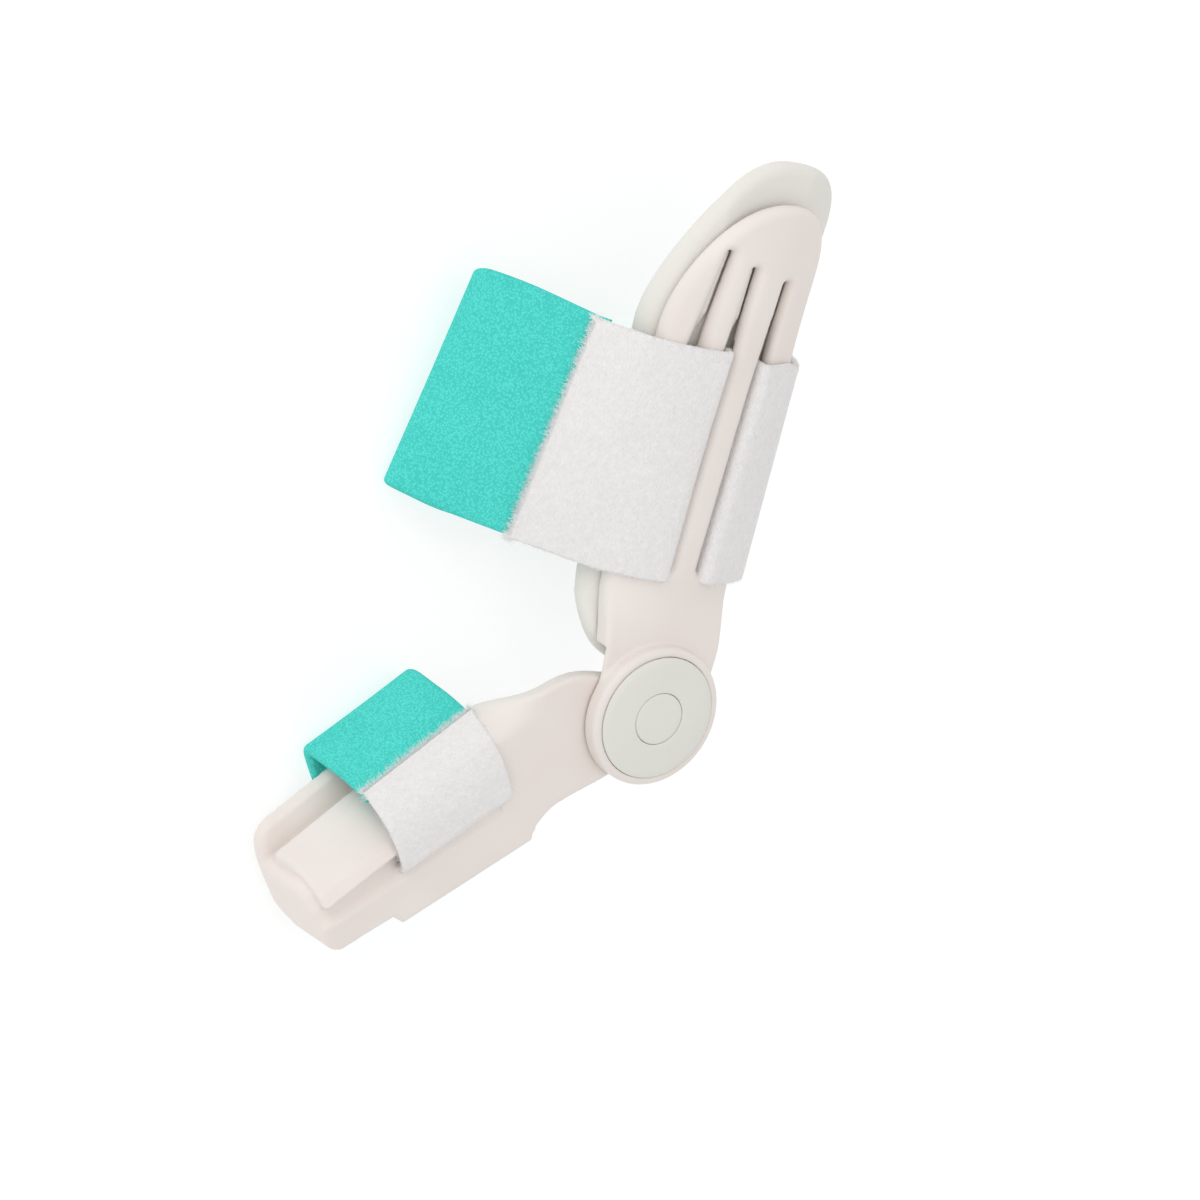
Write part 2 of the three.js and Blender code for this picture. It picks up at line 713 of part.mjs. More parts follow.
const toe = new THREE.Group();
toe.add(named('toe_plate', makeToePlate(), colours.plastic, 0.45));
toe.add(named('toe_strap_tape', makeToeStrapTape(), colours.tape, 0.95));
toe.add(named('toe_strap_foam', makeToeStrapFoam(), colours.foam, 0.9));
toe.rotation.z = (180 - restBend) * deg;

// The splint lies on the backs of its straps, with its plan centre over the origin
const splint = new THREE.Group();
splint.add(foot, toe);
splint.rotation.y = -Math.atan(restSlope);
splint.updateMatrixWorld(true);
const bounds = new THREE.Box3().setFromObject(splint, true);
const centre = bounds.getCenter(new THREE.Vector3());
splint.position.set(-centre.x, -centre.y, -bounds.min.z);

export default splint;
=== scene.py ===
"""Studio picture of a hinged bunion corrector that lies on the backs of its two straps.

Shapes are worked out in millimetres in the hinge frame: X runs up the foot plate, Z comes out of the hinge
cap, and Z 0 is the top of the boss. The toe frame is the same, turned about Z by the angle of the toe part.
"""
import json
import logging
import math
from dataclasses import dataclass, field
from enum import Enum
from typing import Callable, Sequence

import bmesh
import bpy
import numpy as np
from mathutils import Matrix, Vector


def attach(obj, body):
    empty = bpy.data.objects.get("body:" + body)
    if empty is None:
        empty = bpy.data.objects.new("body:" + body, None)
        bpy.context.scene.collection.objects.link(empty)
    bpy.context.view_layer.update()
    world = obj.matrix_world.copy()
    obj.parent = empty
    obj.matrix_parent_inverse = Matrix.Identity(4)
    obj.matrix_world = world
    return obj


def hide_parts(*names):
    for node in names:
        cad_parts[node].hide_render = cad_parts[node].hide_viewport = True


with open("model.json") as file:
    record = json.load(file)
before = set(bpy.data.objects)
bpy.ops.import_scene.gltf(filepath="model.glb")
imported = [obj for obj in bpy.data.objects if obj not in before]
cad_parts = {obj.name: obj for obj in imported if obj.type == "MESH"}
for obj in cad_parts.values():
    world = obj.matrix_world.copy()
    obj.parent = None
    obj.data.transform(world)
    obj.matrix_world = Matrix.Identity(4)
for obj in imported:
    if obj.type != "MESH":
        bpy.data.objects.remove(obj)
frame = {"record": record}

log = logging.getLogger("splint")
Array = np.ndarray
Field = Callable[[Array], Array]

MM = 1000.0
JOINT = frame["record"]["behaviour"]["joints"][0]
HINGE = np.array(JOINT["pos_m"]) * MM
HINGE_AXIS = np.array(JOINT["axis"])
REST_BEND = 55.4
TOE_TURN = math.radians(180.0 - REST_BEND)
REST_SLOPE = 0.187
EDGE_STATIONS = 7
WHITE = (1.0, 1.0, 1.0, 1.0)
MERGE_DISTANCE = 1e-7


class Side(Enum):
    """Part of the splint that a shape belongs to, with the frame it is drawn in."""

    FOOT = "foot"
    TOE = "toe"


def to_world(points: Array, side: Side) -> Array:
    """Carry points of a part's own frame to the row frame.

    Args:
        points: places in millimetres, one per row.
        side: the part whose frame they are drawn in.
    Returns:
        The places in metres, in the row frame.
    """
    x, y, z = points.T
    if side is Side.TOE:
        cos, sin = math.cos(TOE_TURN), math.sin(TOE_TURN)
        x, y = x * cos - y * sin, x * sin + y * cos
    slope_sin, slope_cos = -HINGE_AXIS[0], HINGE_AXIS[2]
    world = np.stack([x * slope_cos - z * slope_sin, y, x * slope_sin + z * slope_cos], axis=1)
    return (world + HINGE) / MM


def make_object(
    name: str, points: Array, faces: Array, side: Side, uv: Array | None = None
) -> bpy.types.Object:
    """Put a quad surface into a new smooth-shaded object.

    Args:
        name: the piece's name.
        points: places in millimetres in the part's frame, one per row.
        faces: four point numbers per row.
        side: the part that the piece belongs to.
        uv: a pair per point, in metres along the surface, or None.
    Returns:
        The object, with its place in its mesh.
    """
    mesh = bpy.data.meshes.new(name)
    mesh.from_pydata(to_world(points, side).tolist(), [], faces.tolist())
    mesh.polygons.foreach_set("use_smooth", np.ones(len(mesh.polygons), bool))
    if uv is not None:
        layer = mesh.uv_layers.new(name="UVMap")
        corners = np.empty(len(mesh.loops), np.int32)
        mesh.loops.foreach_get("vertex_index", corners)
        layer.data.foreach_set("uv", uv[corners].astype(np.float32).ravel())
    mesh.update()
    piece = bpy.data.objects.new(name, mesh)
    bpy.context.scene.collection.objects.link(piece)
    return piece


def smoothstep(value: Array | float, low: float, high: float) -> Array:
    """Ease from 0 at low to 1 at high: 3s squared less 2s cubed of the share s between them."""
    share = np.clip((np.asarray(value, float) - low) / (high - low), 0.0, 1.0)
    return share * share * (3.0 - 2.0 * share)


def bezier(corners: Sequence[Sequence[float]], count: int) -> Array:
    """Points of a Bezier curve: the binomial sum of its corners at even shares, the first place left out.

    Args:
        corners: the curve's control places.
        count: how many steps the share takes from 0 to 1.
    Returns:
        The place at the end of each step.
    """
    share = np.linspace(0.0, 1.0, count + 1)[1:, None]
    ring = np.array(corners, float)
    degree = len(ring) - 1
    return sum(
        math.comb(degree, k) * share**k * (1.0 - share) ** (degree - k) * ring[k] for k in range(degree + 1)
    )


def rounded_path(corners: Array, radius: float, steps: int = 10) -> Array:
    """Round each inner corner of a polyline with a quadratic Bezier curve.

    Args:
        corners: the polyline's places, one per row.
        radius: how far from a corner its curve starts, at most 0.45 of the side beside it.
        steps: how many spans each curve has.
    Returns:
        The rounded polyline's places.
    """
    path = [corners[0]]
    for before, corner, after in zip(corners[:-2], corners[1:-1], corners[2:]):
        back, on = before - corner, after - corner
        reach = min(radius, 0.45 * np.linalg.norm(back), 0.45 * np.linalg.norm(on))
        start = corner + back * (reach / np.linalg.norm(back))
        end = corner + on * (reach / np.linalg.norm(on))
        path.append(start)
        path.extend(bezier([start, corner, end], steps))
    path.append(corners[-1])
    return np.array(path)


def side_lengths(path: Array) -> Array:
    """Length of each side of a section line, over across and depth."""
    return np.linalg.norm(np.diff(path[:, :2], axis=0), axis=1)


def side_square(x: Array, y: Array, start: Array, end: Array) -> tuple[Array, Array]:
    """Squared distance from places to one side, whose nearest place has its share clipped to 0 to 1.

    Args:
        x: first coordinate of the places.
        y: second coordinate of the places.
        start: where the side starts, as a pair.
        end: where it ends.
    Returns:
        The squared distance at each place, and whether the place lies on the left of the side.
    """
    (ax, ay), (bx, by) = start, end
    ex, ey, wx, wy = bx - ax, by - ay, x - ax, y - ay
    share = np.clip((wx * ex + wy * ey) / (ex * ex + ey * ey), 0.0, 1.0)
    return (wx - ex * share) ** 2 + (wy - ey * share) ** 2, ex * wy > ey * wx


def polygon_distance(x: Array, y: Array, corners: Array) -> Array:
    """Signed distance from places to a polygon: the least distance to its sides, negative inside.

    Args:
        x: first coordinate of the places.
        y: second coordinate of the places.
        corners: the polygon's corners, as (corner, 2), or (corner, 2, place) where each place has its own.
    Returns:
        The distance at each place.
    """
    least = np.full(x.shape, np.inf)
    sign = np.ones(x.shape)
    for k in range(len(corners)):
        square, left = side_square(x, y, corners[k], corners[k - 1])
        least = np.minimum(least, square)
        above, below = y >= corners[k][1], y < corners[k - 1][1]
        sign = np.where((above & below & left) | (~above & ~below & ~left), -sign, sign)
    return sign * np.sqrt(least)


def path_distance(x: Array, y: Array, path: Array) -> Array:
    """Distance from places to an open polyline: the least distance to its sides.

    Args:
        x: first coordinate of the places.
        y: second coordinate of the places.
        path: the polyline's places, one pair per row.
    Returns:
        The distance at each place.
    """
    least = np.full(x.shape, np.inf)
    for start, end in zip(path[:-1], path[1:]):
        least = np.minimum(least, side_square(x, y, start, end)[0])
    return np.sqrt(least)


def common(radius: float, *fields: Array) -> Array:
    """What lies in all the given solids, with each outer edge rounded by a quarter circle.

    Args:
        radius: the rounding's radius.
        fields: the solids' signed distances at the same places.
    Returns:
        The signed distance to what they have in common.
    """
    whole = fields[0]
    for other in fields[1:]:
        u, v = np.maximum(whole + radius, 0.0), np.maximum(other + radius, 0.0)
        whole = np.minimum(np.maximum(whole, other), -radius) + np.hypot(u, v)
    return whole


def joined(radius: float, *fields: Array) -> Array:
    """What lies in any of the given solids, with each inner corner filled by a quarter circle."""
    return -common(radius, *(-solid for solid in fields))


def contour(solid: Field, low: Sequence[float], high: Sequence[float], step: float) -> tuple[Array, Array]:
    """Skin of a solid given by its signed distance.

    The distance is worked out on a grid. Each cell that the skin passes through gets one point, the mean of
    where the skin crosses the cell's edges, and each crossed edge gets one face between its four cells. The
    points are then moved onto the skin along the distance's own slope.

    Args:
        solid: signed distance in millimetres at places, negative inside.
        low: the grid's lowest corner, outside the solid.
        high: the grid's highest corner, outside the solid.
        step: the grid's spacing.
    Returns:
        The skin's points and its four-sided faces, which point outwards.
    """
    axes = [np.arange(a, b + step, step) for a, b in zip(low, high)]
    grid = np.stack(np.meshgrid(*axes, indexing="ij"), axis=-1)
    shape = grid.shape[:3]
    value = solid(grid.reshape(-1, 3)).reshape(shape)
    inside = value < 0.0
    total = np.zeros(tuple(n - 1 for n in shape) + (3,))
    count = np.zeros(tuple(n - 1 for n in shape))
    crossed = []
    for axis in range(3):
        near = [slice(None)] * 3
        far = [slice(None)] * 3
        near[axis], far[axis] = slice(0, -1), slice(1, None)
        a, b = value[tuple(near)], value[tuple(far)]
        cut = inside[tuple(near)] != inside[tuple(far)]
        share = np.where(cut, a / np.where(cut, a - b, 1.0), 0.0)
        place = grid[tuple(near)].copy()
        place[..., axis] += share * step
        place *= cut[..., None]
        others = [k for k in range(3) if k != axis]
        for du in (0, 1):
            for dv in (0, 1):
                window = [slice(None)] * 3
                for other, shift in zip(others, (du, dv)):
                    window[other] = slice(shift, shape[other] - 1 + shift)
                total += place[tuple(window)]
                count += cut[tuple(window)]
        crossed.append((axis, others, cut))
    active = count > 0
    number = np.full(active.shape, -1)
    number[active] = np.arange(active.sum())
    points = total[active] / count[active][:, None]
    faces = []
    for axis, others, cut in crossed:
        i = np.argwhere(cut)
        keep = np.all([(i[:, k] > 0) & (i[:, k] < shape[k] - 1) for k in others], axis=0)
        i = i[keep]
        first, second = np.eye(3, dtype=int)[others[0]], np.eye(3, dtype=int)[others[1]]
        ring = [i, i - first, i - first - second, i - second]
        quad = np.stack([number[tuple(cell.T)] for cell in ring], axis=1)
        out = inside[tuple(i.T)] ^ (axis == 1)
        faces.append(np.where(out[:, None], quad, quad[:, ::-1]))
    passes, probe, least_slope, furthest, eagerness = 3, 0.01, 0.3, 0.5 * step, 0.9
    for _ in range(passes):
        here = solid(points)
        slope = np.stack([solid(points + probe * unit) - here for unit in np.eye(3)], axis=1) / probe
        length = np.maximum((slope**2).sum(axis=1), least_slope)
        points -= np.clip(here / length, -furthest, furthest)[:, None] * slope * eagerness
    return points, np.concatenate(faces)


def edge_ease(count: int, run: float, radius: float) -> tuple[Array, Array]:
    """Stations across a strip whose two edges are rounded.

    Args:
        count: how many even stations lie between the two edges.
        run: the strip's length in millimetres between its edges.
        radius: the edge's rounding.
    Returns:
        The stations as shares of the run, and the share of the full thickness at each: near an edge the height
        of a quarter circle.
    """
    near = radius * (1.0 - np.cos(np.linspace(0.0, math.pi / 2, EDGE_STATIONS)))
    middle = np.linspace(radius, run - radius, count)[1:-1]
    at = np.concatenate([near, middle, run - near[::-1]])
    inset = np.minimum(np.minimum(at, run - at), radius)
    return at / run, np.sqrt(np.maximum(0.0, 1.0 - (1.0 - inset / radius) ** 2))


# Loose fibres: the share of them at the band's end, the share at its end and edges together, how deep they
# start, how far they droop, and each ring's share of the length with its radius
END_FIBRES = 0.36
EDGE_FIBRES = 0.6
FIBRE_DEPTH = 0.05
FIBRE_DROOP = 0.25
FIBRE_RINGS = ((0.0, 0.05), (0.4, 0.045), (0.75, 0.035), (1.0, 0.012))


@dataclass
class Strip:
    """A band of even thickness whose middle surface runs between two end lines, with rounded edges."""

    low: Array
    high: Array
    thickness: float
    middle: float
    place: Callable[[Array, Array], Array]
    rounding: float = 0.9
    across: int = 48
    spacing: float = 0.7
    outer: tuple[Array, Array, Array] | None = field(default=None, init=False)

    def surface(self, name: str, side: Side) -> bpy.types.Object:
        """Build the closed band.

        The middle surface is the straight blend of the two end lines over the width. Each face lies half
        the thickness off it along its normal, and less at the edges, where it falls as a quarter circle.

        Args:
            name: the piece's name.
            side: the part that it belongs to.
        Returns:
            The band's object, with UVs in metres: along the band and across it.
        """
        run = np.cumsum(side_lengths(self.low))[-1]
        along, along_height = edge_ease(int(run / self.spacing), run, self.rounding)
        width = np.linalg.norm(self.place(self.low[:1], np.zeros(1)) - self.place(self.high[:1], np.ones(1)))
        share, share_height = edge_ease(self.across, float(width), self.rounding)
        ends = []
        for path in (self.low, self.high):
            at = np.concatenate([[0.0], np.cumsum(side_lengths(path))])
            ends.append(np.stack([np.interp(along * at[-1], at, column) for column in path.T], axis=1))
        blend = ends[0][:, None] * (1.0 - share[None, :, None]) + ends[1][:, None] * share[None, :, None]
        rows, columns = blend.shape[:2]
        shares = np.broadcast_to(share, (rows, columns)).ravel()
        base = self.place(blend.reshape(-1, 3), shares).reshape(rows, columns, 3)
        tangent = np.gradient(base, axis=0)
        cross = np.gradient(base, axis=1)
        normal = np.cross(cross, tangent)
        normal /= np.linalg.norm(normal, axis=2, keepdims=True)
        height = np.minimum(along_height[:, None], share_height[None, :])
        half = 0.5 * self.thickness * height
        metres = np.stack(np.meshgrid(along * run, share * width, indexing="ij"), axis=-1) / MM
        centre = base + normal * self.middle
        upper = centre + normal * half[..., None]
        lower = centre - normal * half[..., None]
        points = np.concatenate([upper.reshape(-1, 3), lower.reshape(-1, 3)])
        uv = np.concatenate([metres.reshape(-1, 2)] * 2)
        grid = np.arange(rows * columns).reshape(rows, columns)
        under = grid + rows * columns
        rim = np.zeros((rows, columns), bool)
        rim[[0, -1], :] = True
        rim[:, [0, -1]] = True
        under = np.where(rim, grid, under)
        faces = []
        for sheet, turn in ((grid, True), (under, False)):
            ring = [sheet[:-1, :-1], sheet[1:, :-1], sheet[1:, 1:], sheet[:-1, 1:]]
            quad = np.stack(ring, axis=-1).reshape(-1, 4)
            faces.append(quad[:, ::-1] if turn else quad)
        self.outer = (upper, normal, metres)
        used = np.unique(np.concatenate(faces))
        renumber = np.full(len(points), -1)
        renumber[used] = np.arange(len(used))
        return make_object(name, points[used], renumber[np.concatenate(faces)], side, uv[used])

    def fringe(self, name: str, side: Side, count: int) -> bpy.types.Object:
        """Build short loose fibres on the band's outer face, thickest at its free end and its two edges.

        A fibre is a bent, tapering three-sided spine: its root plus length times share along a direction near
        the surface, less a droop by the square of the share. The first fibres stand at the band's end, the next
        along its edges and the rest anywhere.

        Args:
            name: the piece's name.
            side: the part that it belongs to.
            count: how many fibres there are.
        Returns:
            The fibres' object, once the band itself has been built.
        """
        upper, normal, metres = self.outer
        rows, columns = upper.shape[:2]
        rng = np.random.default_rng(7)
        at_end = np.arange(count) < count * END_FIBRES
        at_side = ~at_end & (np.arange(count) < count * EDGE_FIBRES)
        row = np.where(at_end, rows - 2 - rng.integers(0, 7, count), rng.integers(4, rows - 4, count))
        first = rng.random(count) < 0.5
        edge = np.where(first, rng.integers(2, 8, count), columns - 3 - rng.integers(0, 6, count))
        column = np.where(at_side, edge, rng.integers(3, columns - 3, count))
        shift = rng.random((2, count, 1))
        root = upper[row, column] * (1 - shift[0]) + upper[row - 1, column] * shift[0]
        root = root + (upper[row, column - 1] - upper[row, column]) * shift[1]
        out = normal[row, column]
        along = upper[row, column] - upper[row - 1, column]
        along /= np.linalg.norm(along, axis=1, keepdims=True)
        across = np.cross(out, along)
        angle = np.where(at_end, rng.normal(0.0, 0.7, count), rng.uniform(-math.pi, math.pi, count))[:, None]
        rise = np.where(at_end, 0.12, 0.22)[:, None] + 0.12 * rng.random((count, 1))
        way = along * np.cos(angle) + across * np.sin(angle) + out * rise
        beside = np.cross(way, out)
        beside /= np.linalg.norm(beside, axis=1, keepdims=True)
        length = np.where(at_end, rng.uniform(0.8, 2.5, count), rng.uniform(0.35, 0.9, count))[:, None]
        curl = rng.normal(0.0, 0.35, (count, 1))
        rings = []
        for share, radius in FIBRE_RINGS:
            spine = root - out * FIBRE_DEPTH + way * (length * share)
            spine = spine + (beside * curl - out * FIBRE_DROOP) * (length * share * share)
            for turn in range(3):
                lean = 2.0 * math.pi * turn / 3
                rings.append(spine + radius * (beside * math.cos(lean) + out * math.sin(lean)))
        points = np.stack(rings, axis=1)
        ring = np.array([[3 * k + j, 3 * k + (j + 1) % 3, 3 * k + 3 + (j + 1) % 3, 3 * k + 3 + j]
                         for k in range(len(FIBRE_RINGS) - 1) for j in range(3)])
        faces = (np.arange(count)[:, None, None] * len(rings) + ring[None]).reshape(-1, 4)
        uv = np.repeat(metres[row, column], len(rings), axis=0)
        return make_object(name, points.reshape(-1, 3), faces, side, uv)


def turned(name: str, profile: Array, segments: int, side: Side) -> bpy.types.Object:
    """Carry a profile round Z.

    Args:
        name: the piece's name.
        profile: radius and height pairs; where it starts or ends off the axis, it is closed.
        segments: how many steps the turn has.
        side: the part that it belongs to.
    Returns:
        The closed round piece: each profile point at radius times cosine and sine of every angle.
    """
    angle = np.linspace(0.0, 2.0 * math.pi, segments, endpoint=False)
    radius, height = profile[:, 0, None], profile[:, 1, None]
    ring = np.stack(
        [radius * np.cos(angle), radius * np.sin(angle), np.repeat(height, segments, axis=1)], axis=-1
    )
    grid = np.arange(ring.shape[0] * segments).reshape(ring.shape[0], segments)
    on = np.roll(grid, -1, axis=1)
    faces = np.stack([grid[:-1], on[:-1], on[1:], grid[1:]], axis=-1).reshape(-1, 4)
    piece = make_object(name, ring.reshape(-1, 3), faces, side)
    weld(piece)
    return piece


def weld(piece: bpy.types.Object) -> None:
    """Merge doubled points at poles and seams, and turn all faces outwards.

    Args:
        piece: the object whose mesh is changed.
    """
    mesh = bmesh.new()
    mesh.from_mesh(piece.data)
    bmesh.ops.remove_doubles(mesh, verts=mesh.verts, dist=MERGE_DISTANCE)
    bmesh.ops.recalc_face_normals(mesh, faces=mesh.faces)
    mesh.to_mesh(piece.data)
    mesh.free()


@dataclass(frozen=True)
class Value:
    """A number, colour or vector that a node gives, with arithmetic that adds Math nodes."""

    graph: "Graph"
    socket: bpy.types.NodeSocket

    def _math(self, operation: str, *others: "Value | float", swap: bool = False) -> "Value":
        """Add one Math node.

        Args:
            operation: the node's operation.
            others: what follows this value in it.
            swap: whether the order is turned round.
        Returns:
            The node's result.
        """
        operands = [self, *others]
        if swap:
            operands.reverse()
        return self.graph.node("ShaderNodeMath", dict(enumerate(operands)), operation=operation)

    def __add__(self, other: "Value | float") -> "Value":
        """Sum."""
        return self._math("ADD", other)

    __radd__ = __add__

    def __mul__(self, other: "Value | float") -> "Value":
        """Product."""
        return self._math("MULTIPLY", other)

    __rmul__ = __mul__

    def __sub__(self, other: "Value | float") -> "Value":
        """Difference."""
        return self._math("SUBTRACT", other)

    def __rsub__(self, other: float) -> "Value":
        """A number less this value."""
        return self._math("SUBTRACT", other, swap=True)

    def ramp(self, low: float, high: float) -> "Value":
        """Ease from 0 at low to 1 at high."""
        inputs = {"Value": self, "From Min": low, "From Max": high}
        return self.graph.node("ShaderNodeMapRange", inputs, interpolation_type="SMOOTHSTEP")


class Graph:
    """Nodes of one material around its Principled shader."""

    def __init__(self, name: str) -> None:
        """Make the material with its shader and output.

        Args:
            name: the material's name.
        """
        self.material = bpy.data.materials.new(name)
        self.material.use_nodes = True
        self.tree = self.material.node_tree
        self.shader = next(n for n in self.tree.nodes if n.type == "BSDF_PRINCIPLED")

    def node(self, kind: str, inputs: dict | None = None, out: str | int = 0, **settings: object) -> Value:
        """Add a node.

        Args:
            kind: the node's type name.
            inputs: values or links by socket name or number.
            out: the output that is wanted.
            settings: the node's settings, set before its sockets.
        Returns:
            The wanted output.
        """
        made = self.tree.nodes.new(kind)
        for name, value in settings.items():
            setattr(made, name, value)
        for key, value in (inputs or {}).items():
            self.feed(made.inputs[key], value)
        return Value(self, made.outputs[out])

    def feed(self, socket: bpy.types.NodeSocket, value: "Value | float | Sequence[float]") -> None:
        """Link a value to a socket, or set the number on it.

        Args:
            socket: the input that is fed.
            value: a node's output, or a number, colour or vector.
        """
        if isinstance(value, Value):
            self.tree.links.new(value.socket, socket)
        else:
            socket.default_value = value

    def place(self) -> Value:
        """Object coordinates, in metres."""
        return self.node("ShaderNodeTexCoord", out="Object")

    def strip_place(self) -> Value:
        """A strip's own UV map, in metres along it and across it."""
        return self.node("ShaderNodeUVMap", uv_map="UVMap")

    def stretched(self, place: Value, scale: Sequence[float]) -> Value:
        """Coordinates times a scale along each axis."""
        return self.node("ShaderNodeMapping", {"Vector": place, "Scale": tuple(scale)})

    def noise(self, place: Value, scale: float, detail: float = 3.0, roughness: float = 0.55) -> Value:
        """Cloudy noise from 0 to 1, with the given number of cells per metre."""
        inputs = {"Vector": place, "Scale": scale, "Detail": detail, "Roughness": roughness}
        return self.node("ShaderNodeTexNoise", inputs)

    def grains(self, place: Value, scale: float) -> Value:
        """Distance to the nearest grain's centre, with the given number of grains per metre."""
        return self.node("ShaderNodeTexVoronoi", {"Vector": place, "Scale": scale}, out="Distance")

    def mix(self, share: "Value | float", first: object, second: object) -> Value:
        """Blend two colours.

        Args:
            share: how much of the second colour there is, from 0 to 1.
            first: the colour at 0.
            second: the colour at 1.
        Returns:
            The blended colour.
        """
        made = self.tree.nodes.new("ShaderNodeMix")
        made.data_type = "RGBA"
        for socket, value in zip((made.inputs[0], made.inputs[6], made.inputs[7]), (share, first, second)):
            self.feed(socket, value)
        return Value(self, made.outputs[2])

    def bump(self, height: Value, depth: float, strength: float, under: Value | None = None) -> Value:
        """Bend the normal over bumps.

        Args:
            height: the bumps' height, from 0 to 1.
            depth: what a height of 1 stands for, in metres.
            strength: share of the bend that is used.
            under: a normal that the bumps lie on, or None.
        Returns:
            The bent normal.
        """
        inputs: dict = {"Height": height, "Distance": depth, "Strength": strength}
        if under is not None:
            inputs["Normal"] = under
        return self.node("ShaderNodeBump", inputs)

    def shade(self, **sockets: object) -> bpy.types.Material:
        """Feed the shader's sockets.

        Args:
            sockets: values by socket name, with underscores for spaces.
        Returns:
            The material.
        """
        for name, value in sockets.items():
            self.feed(self.shader.inputs[name.replace("_", " ").title().replace("Ior", "IOR")], value)
        return self.material


def srgb(red: int, green: int, blue: int) -> tuple[float, float, float, float]:
    """Linear colour of an 8-bit screen colour."""
    parts = [c / 255.0 for c in (red, green, blue)]
    return tuple(c / 12.92 if c <= 0.04045 else ((c + 0.055) / 1.055) ** 2.4 for c in parts) + (1.0,)


@dataclass(frozen=True)
class MouldedPlastic:
    """Satin moulded plastic: warm white, faint flow clouds and fine spark-eroded grain."""

    name: str = "moulded_plastic"
    colour: tuple = srgb(237, 230, 225)
    shade_colour: tuple = srgb(234, 225, 219)
    grain: float = 5200.0
    grain_depth: float = 0.00001
    roughness: float = 0.40

    def make(self) -> bpy.types.Material:
        """Build the material.

        Returns:
            The material.
        """
        graph = Graph(self.name)
        place = graph.place()
        cloud = graph.noise(place, 38.0, 2.0).ramp(0.3, 0.72)
        grain = graph.noise(place, self.grain, 2.0)
        waves = graph.noise(place, 120.0, 2.0)
        normal = graph.bump(waves, 0.00006, 0.35, graph.bump(grain, self.grain_depth, 0.8))
        return graph.shade(
            base_color=graph.mix(cloud, self.colour, self.shade_colour),
            roughness=self.roughness + 0.14 * grain + 0.05 * cloud,
            normal=normal,
            specular_ior_level=0.42,
            subsurface_weight=0.06,
            subsurface_scale=0.004,
            subsurface_radius=(1.0, 0.85, 0.7),
        )


@dataclass(frozen=True)
class SoftRubber:
    """Soft moulded pad: cool off-white, matt, with a slight leathery pebble and soft clouds."""

    name: str = "soft_pad"
    colour: tuple = srgb(233, 230, 224)
    shade_colour: tuple = srgb(228, 227, 220)

    def make(self) -> bpy.types.Material:
        """Build the material.

        Returns:
            The material.
        """
        graph = Graph(self.name)
        place = graph.place()
        cloud = graph.noise(place, 45.0, 3.0).ramp(0.3, 0.75)
        pebble = graph.grains(place, 2600.0)
        normal = graph.bump(graph.noise(place, 260.0, 2.0), 0.00012, 0.3, graph.bump(pebble, 0.00003, 0.6))
        return graph.shade(
            base_color=graph.mix(cloud, self.colour, self.shade_colour),
            roughness=0.56 + 0.16 * pebble + 0.06 * cloud,
            normal=normal,
            specular_ior_level=0.35,
            subsurface_weight=0.1,
            subsurface_scale=0.003,
            subsurface_radius=(0.9, 1.0, 0.85),
        )


@dataclass(frozen=True)
class LoopTape:
    """Brushed loop tape: white pile combed along the band, with tufts, faint rows and a felted edge."""

    name: str = "loop_tape"
    colour: tuple = srgb(252, 250, 250)
    shade_colour: tuple = srgb(233, 231, 230)

    def make(self) -> bpy.types.Material:
        """Build the material.

        Returns:
            The material.
        """
        graph = Graph(self.name)
        place = graph.strip_place()
        pile = graph.noise(graph.stretched(place, (1.0, 0.32, 1.0)), 3600.0, 4.0, 0.7)
        tufts = graph.noise(graph.stretched(place, (1.0, 0.5, 1.0)), 900.0, 3.0, 0.6)
        clouds = graph.noise(place, 120.0, 2.0)
        height = 0.8 * pile + 0.35 * tufts + 0.1 * clouds
        shadow = (1.0 - height * 0.9).ramp(0.15, 0.62)
        return graph.shade(
            base_color=graph.mix(shadow, self.colour, self.shade_colour),
            roughness=0.86 + 0.1 * pile,
            normal=graph.bump(height, 0.0004, 0.75),
            specular_ior_level=0.15,
            sheen_weight=0.45,
            sheen_roughness=0.5,
            sheen_tint=srgb(250, 250, 250),
        )


@dataclass(frozen=True)
class FoamFabric:
    """Foam laminate: teal knit over foam with a fine pebbled grain, soft dimples and painted shade in low
    places.
    """

    name: str = "foam_laminate"
    colour: tuple = srgb(100, 236, 226)
    painted_shade_and_cloud_colour: tuple = srgb(60, 200, 188)
    grain: float = 1900.0

    def make(self) -> bpy.types.Material:
        """Build the material.

        Returns:
            The material.
        """
        graph = Graph(self.name)
        place = graph.place()
        pebble = graph.grains(place, self.grain)
        fine = graph.noise(place, 4200.0, 3.0, 0.65)
        dimple = graph.noise(place, 330.0, 3.0)
        cloud = graph.noise(place, 60.0, 2.0).ramp(0.3, 0.75)
        height = 1.0 * fine - 1.0 * pebble
        # Painted shade: the base colour darkens where the grain and the dimples lie low; the cloud adds a faint
        # random tone.
        low = (1.1 * pebble + 0.3 * dimple).ramp(0.25, 0.95)
        normal = graph.bump(dimple, 0.0003, 0.3, graph.bump(height, 0.0002, 0.9))
        return graph.shade(
            base_color=graph.mix(low * 0.65 + cloud * 0.1, self.colour, self.painted_shade_and_cloud_colour),
            roughness=0.8 + 0.12 * fine,
            normal=normal,
            specular_ior_level=0.12,
            sheen_weight=0.04,
            sheen_roughness=0.4,
            sheen_tint=srgb(120, 240, 226),
        )


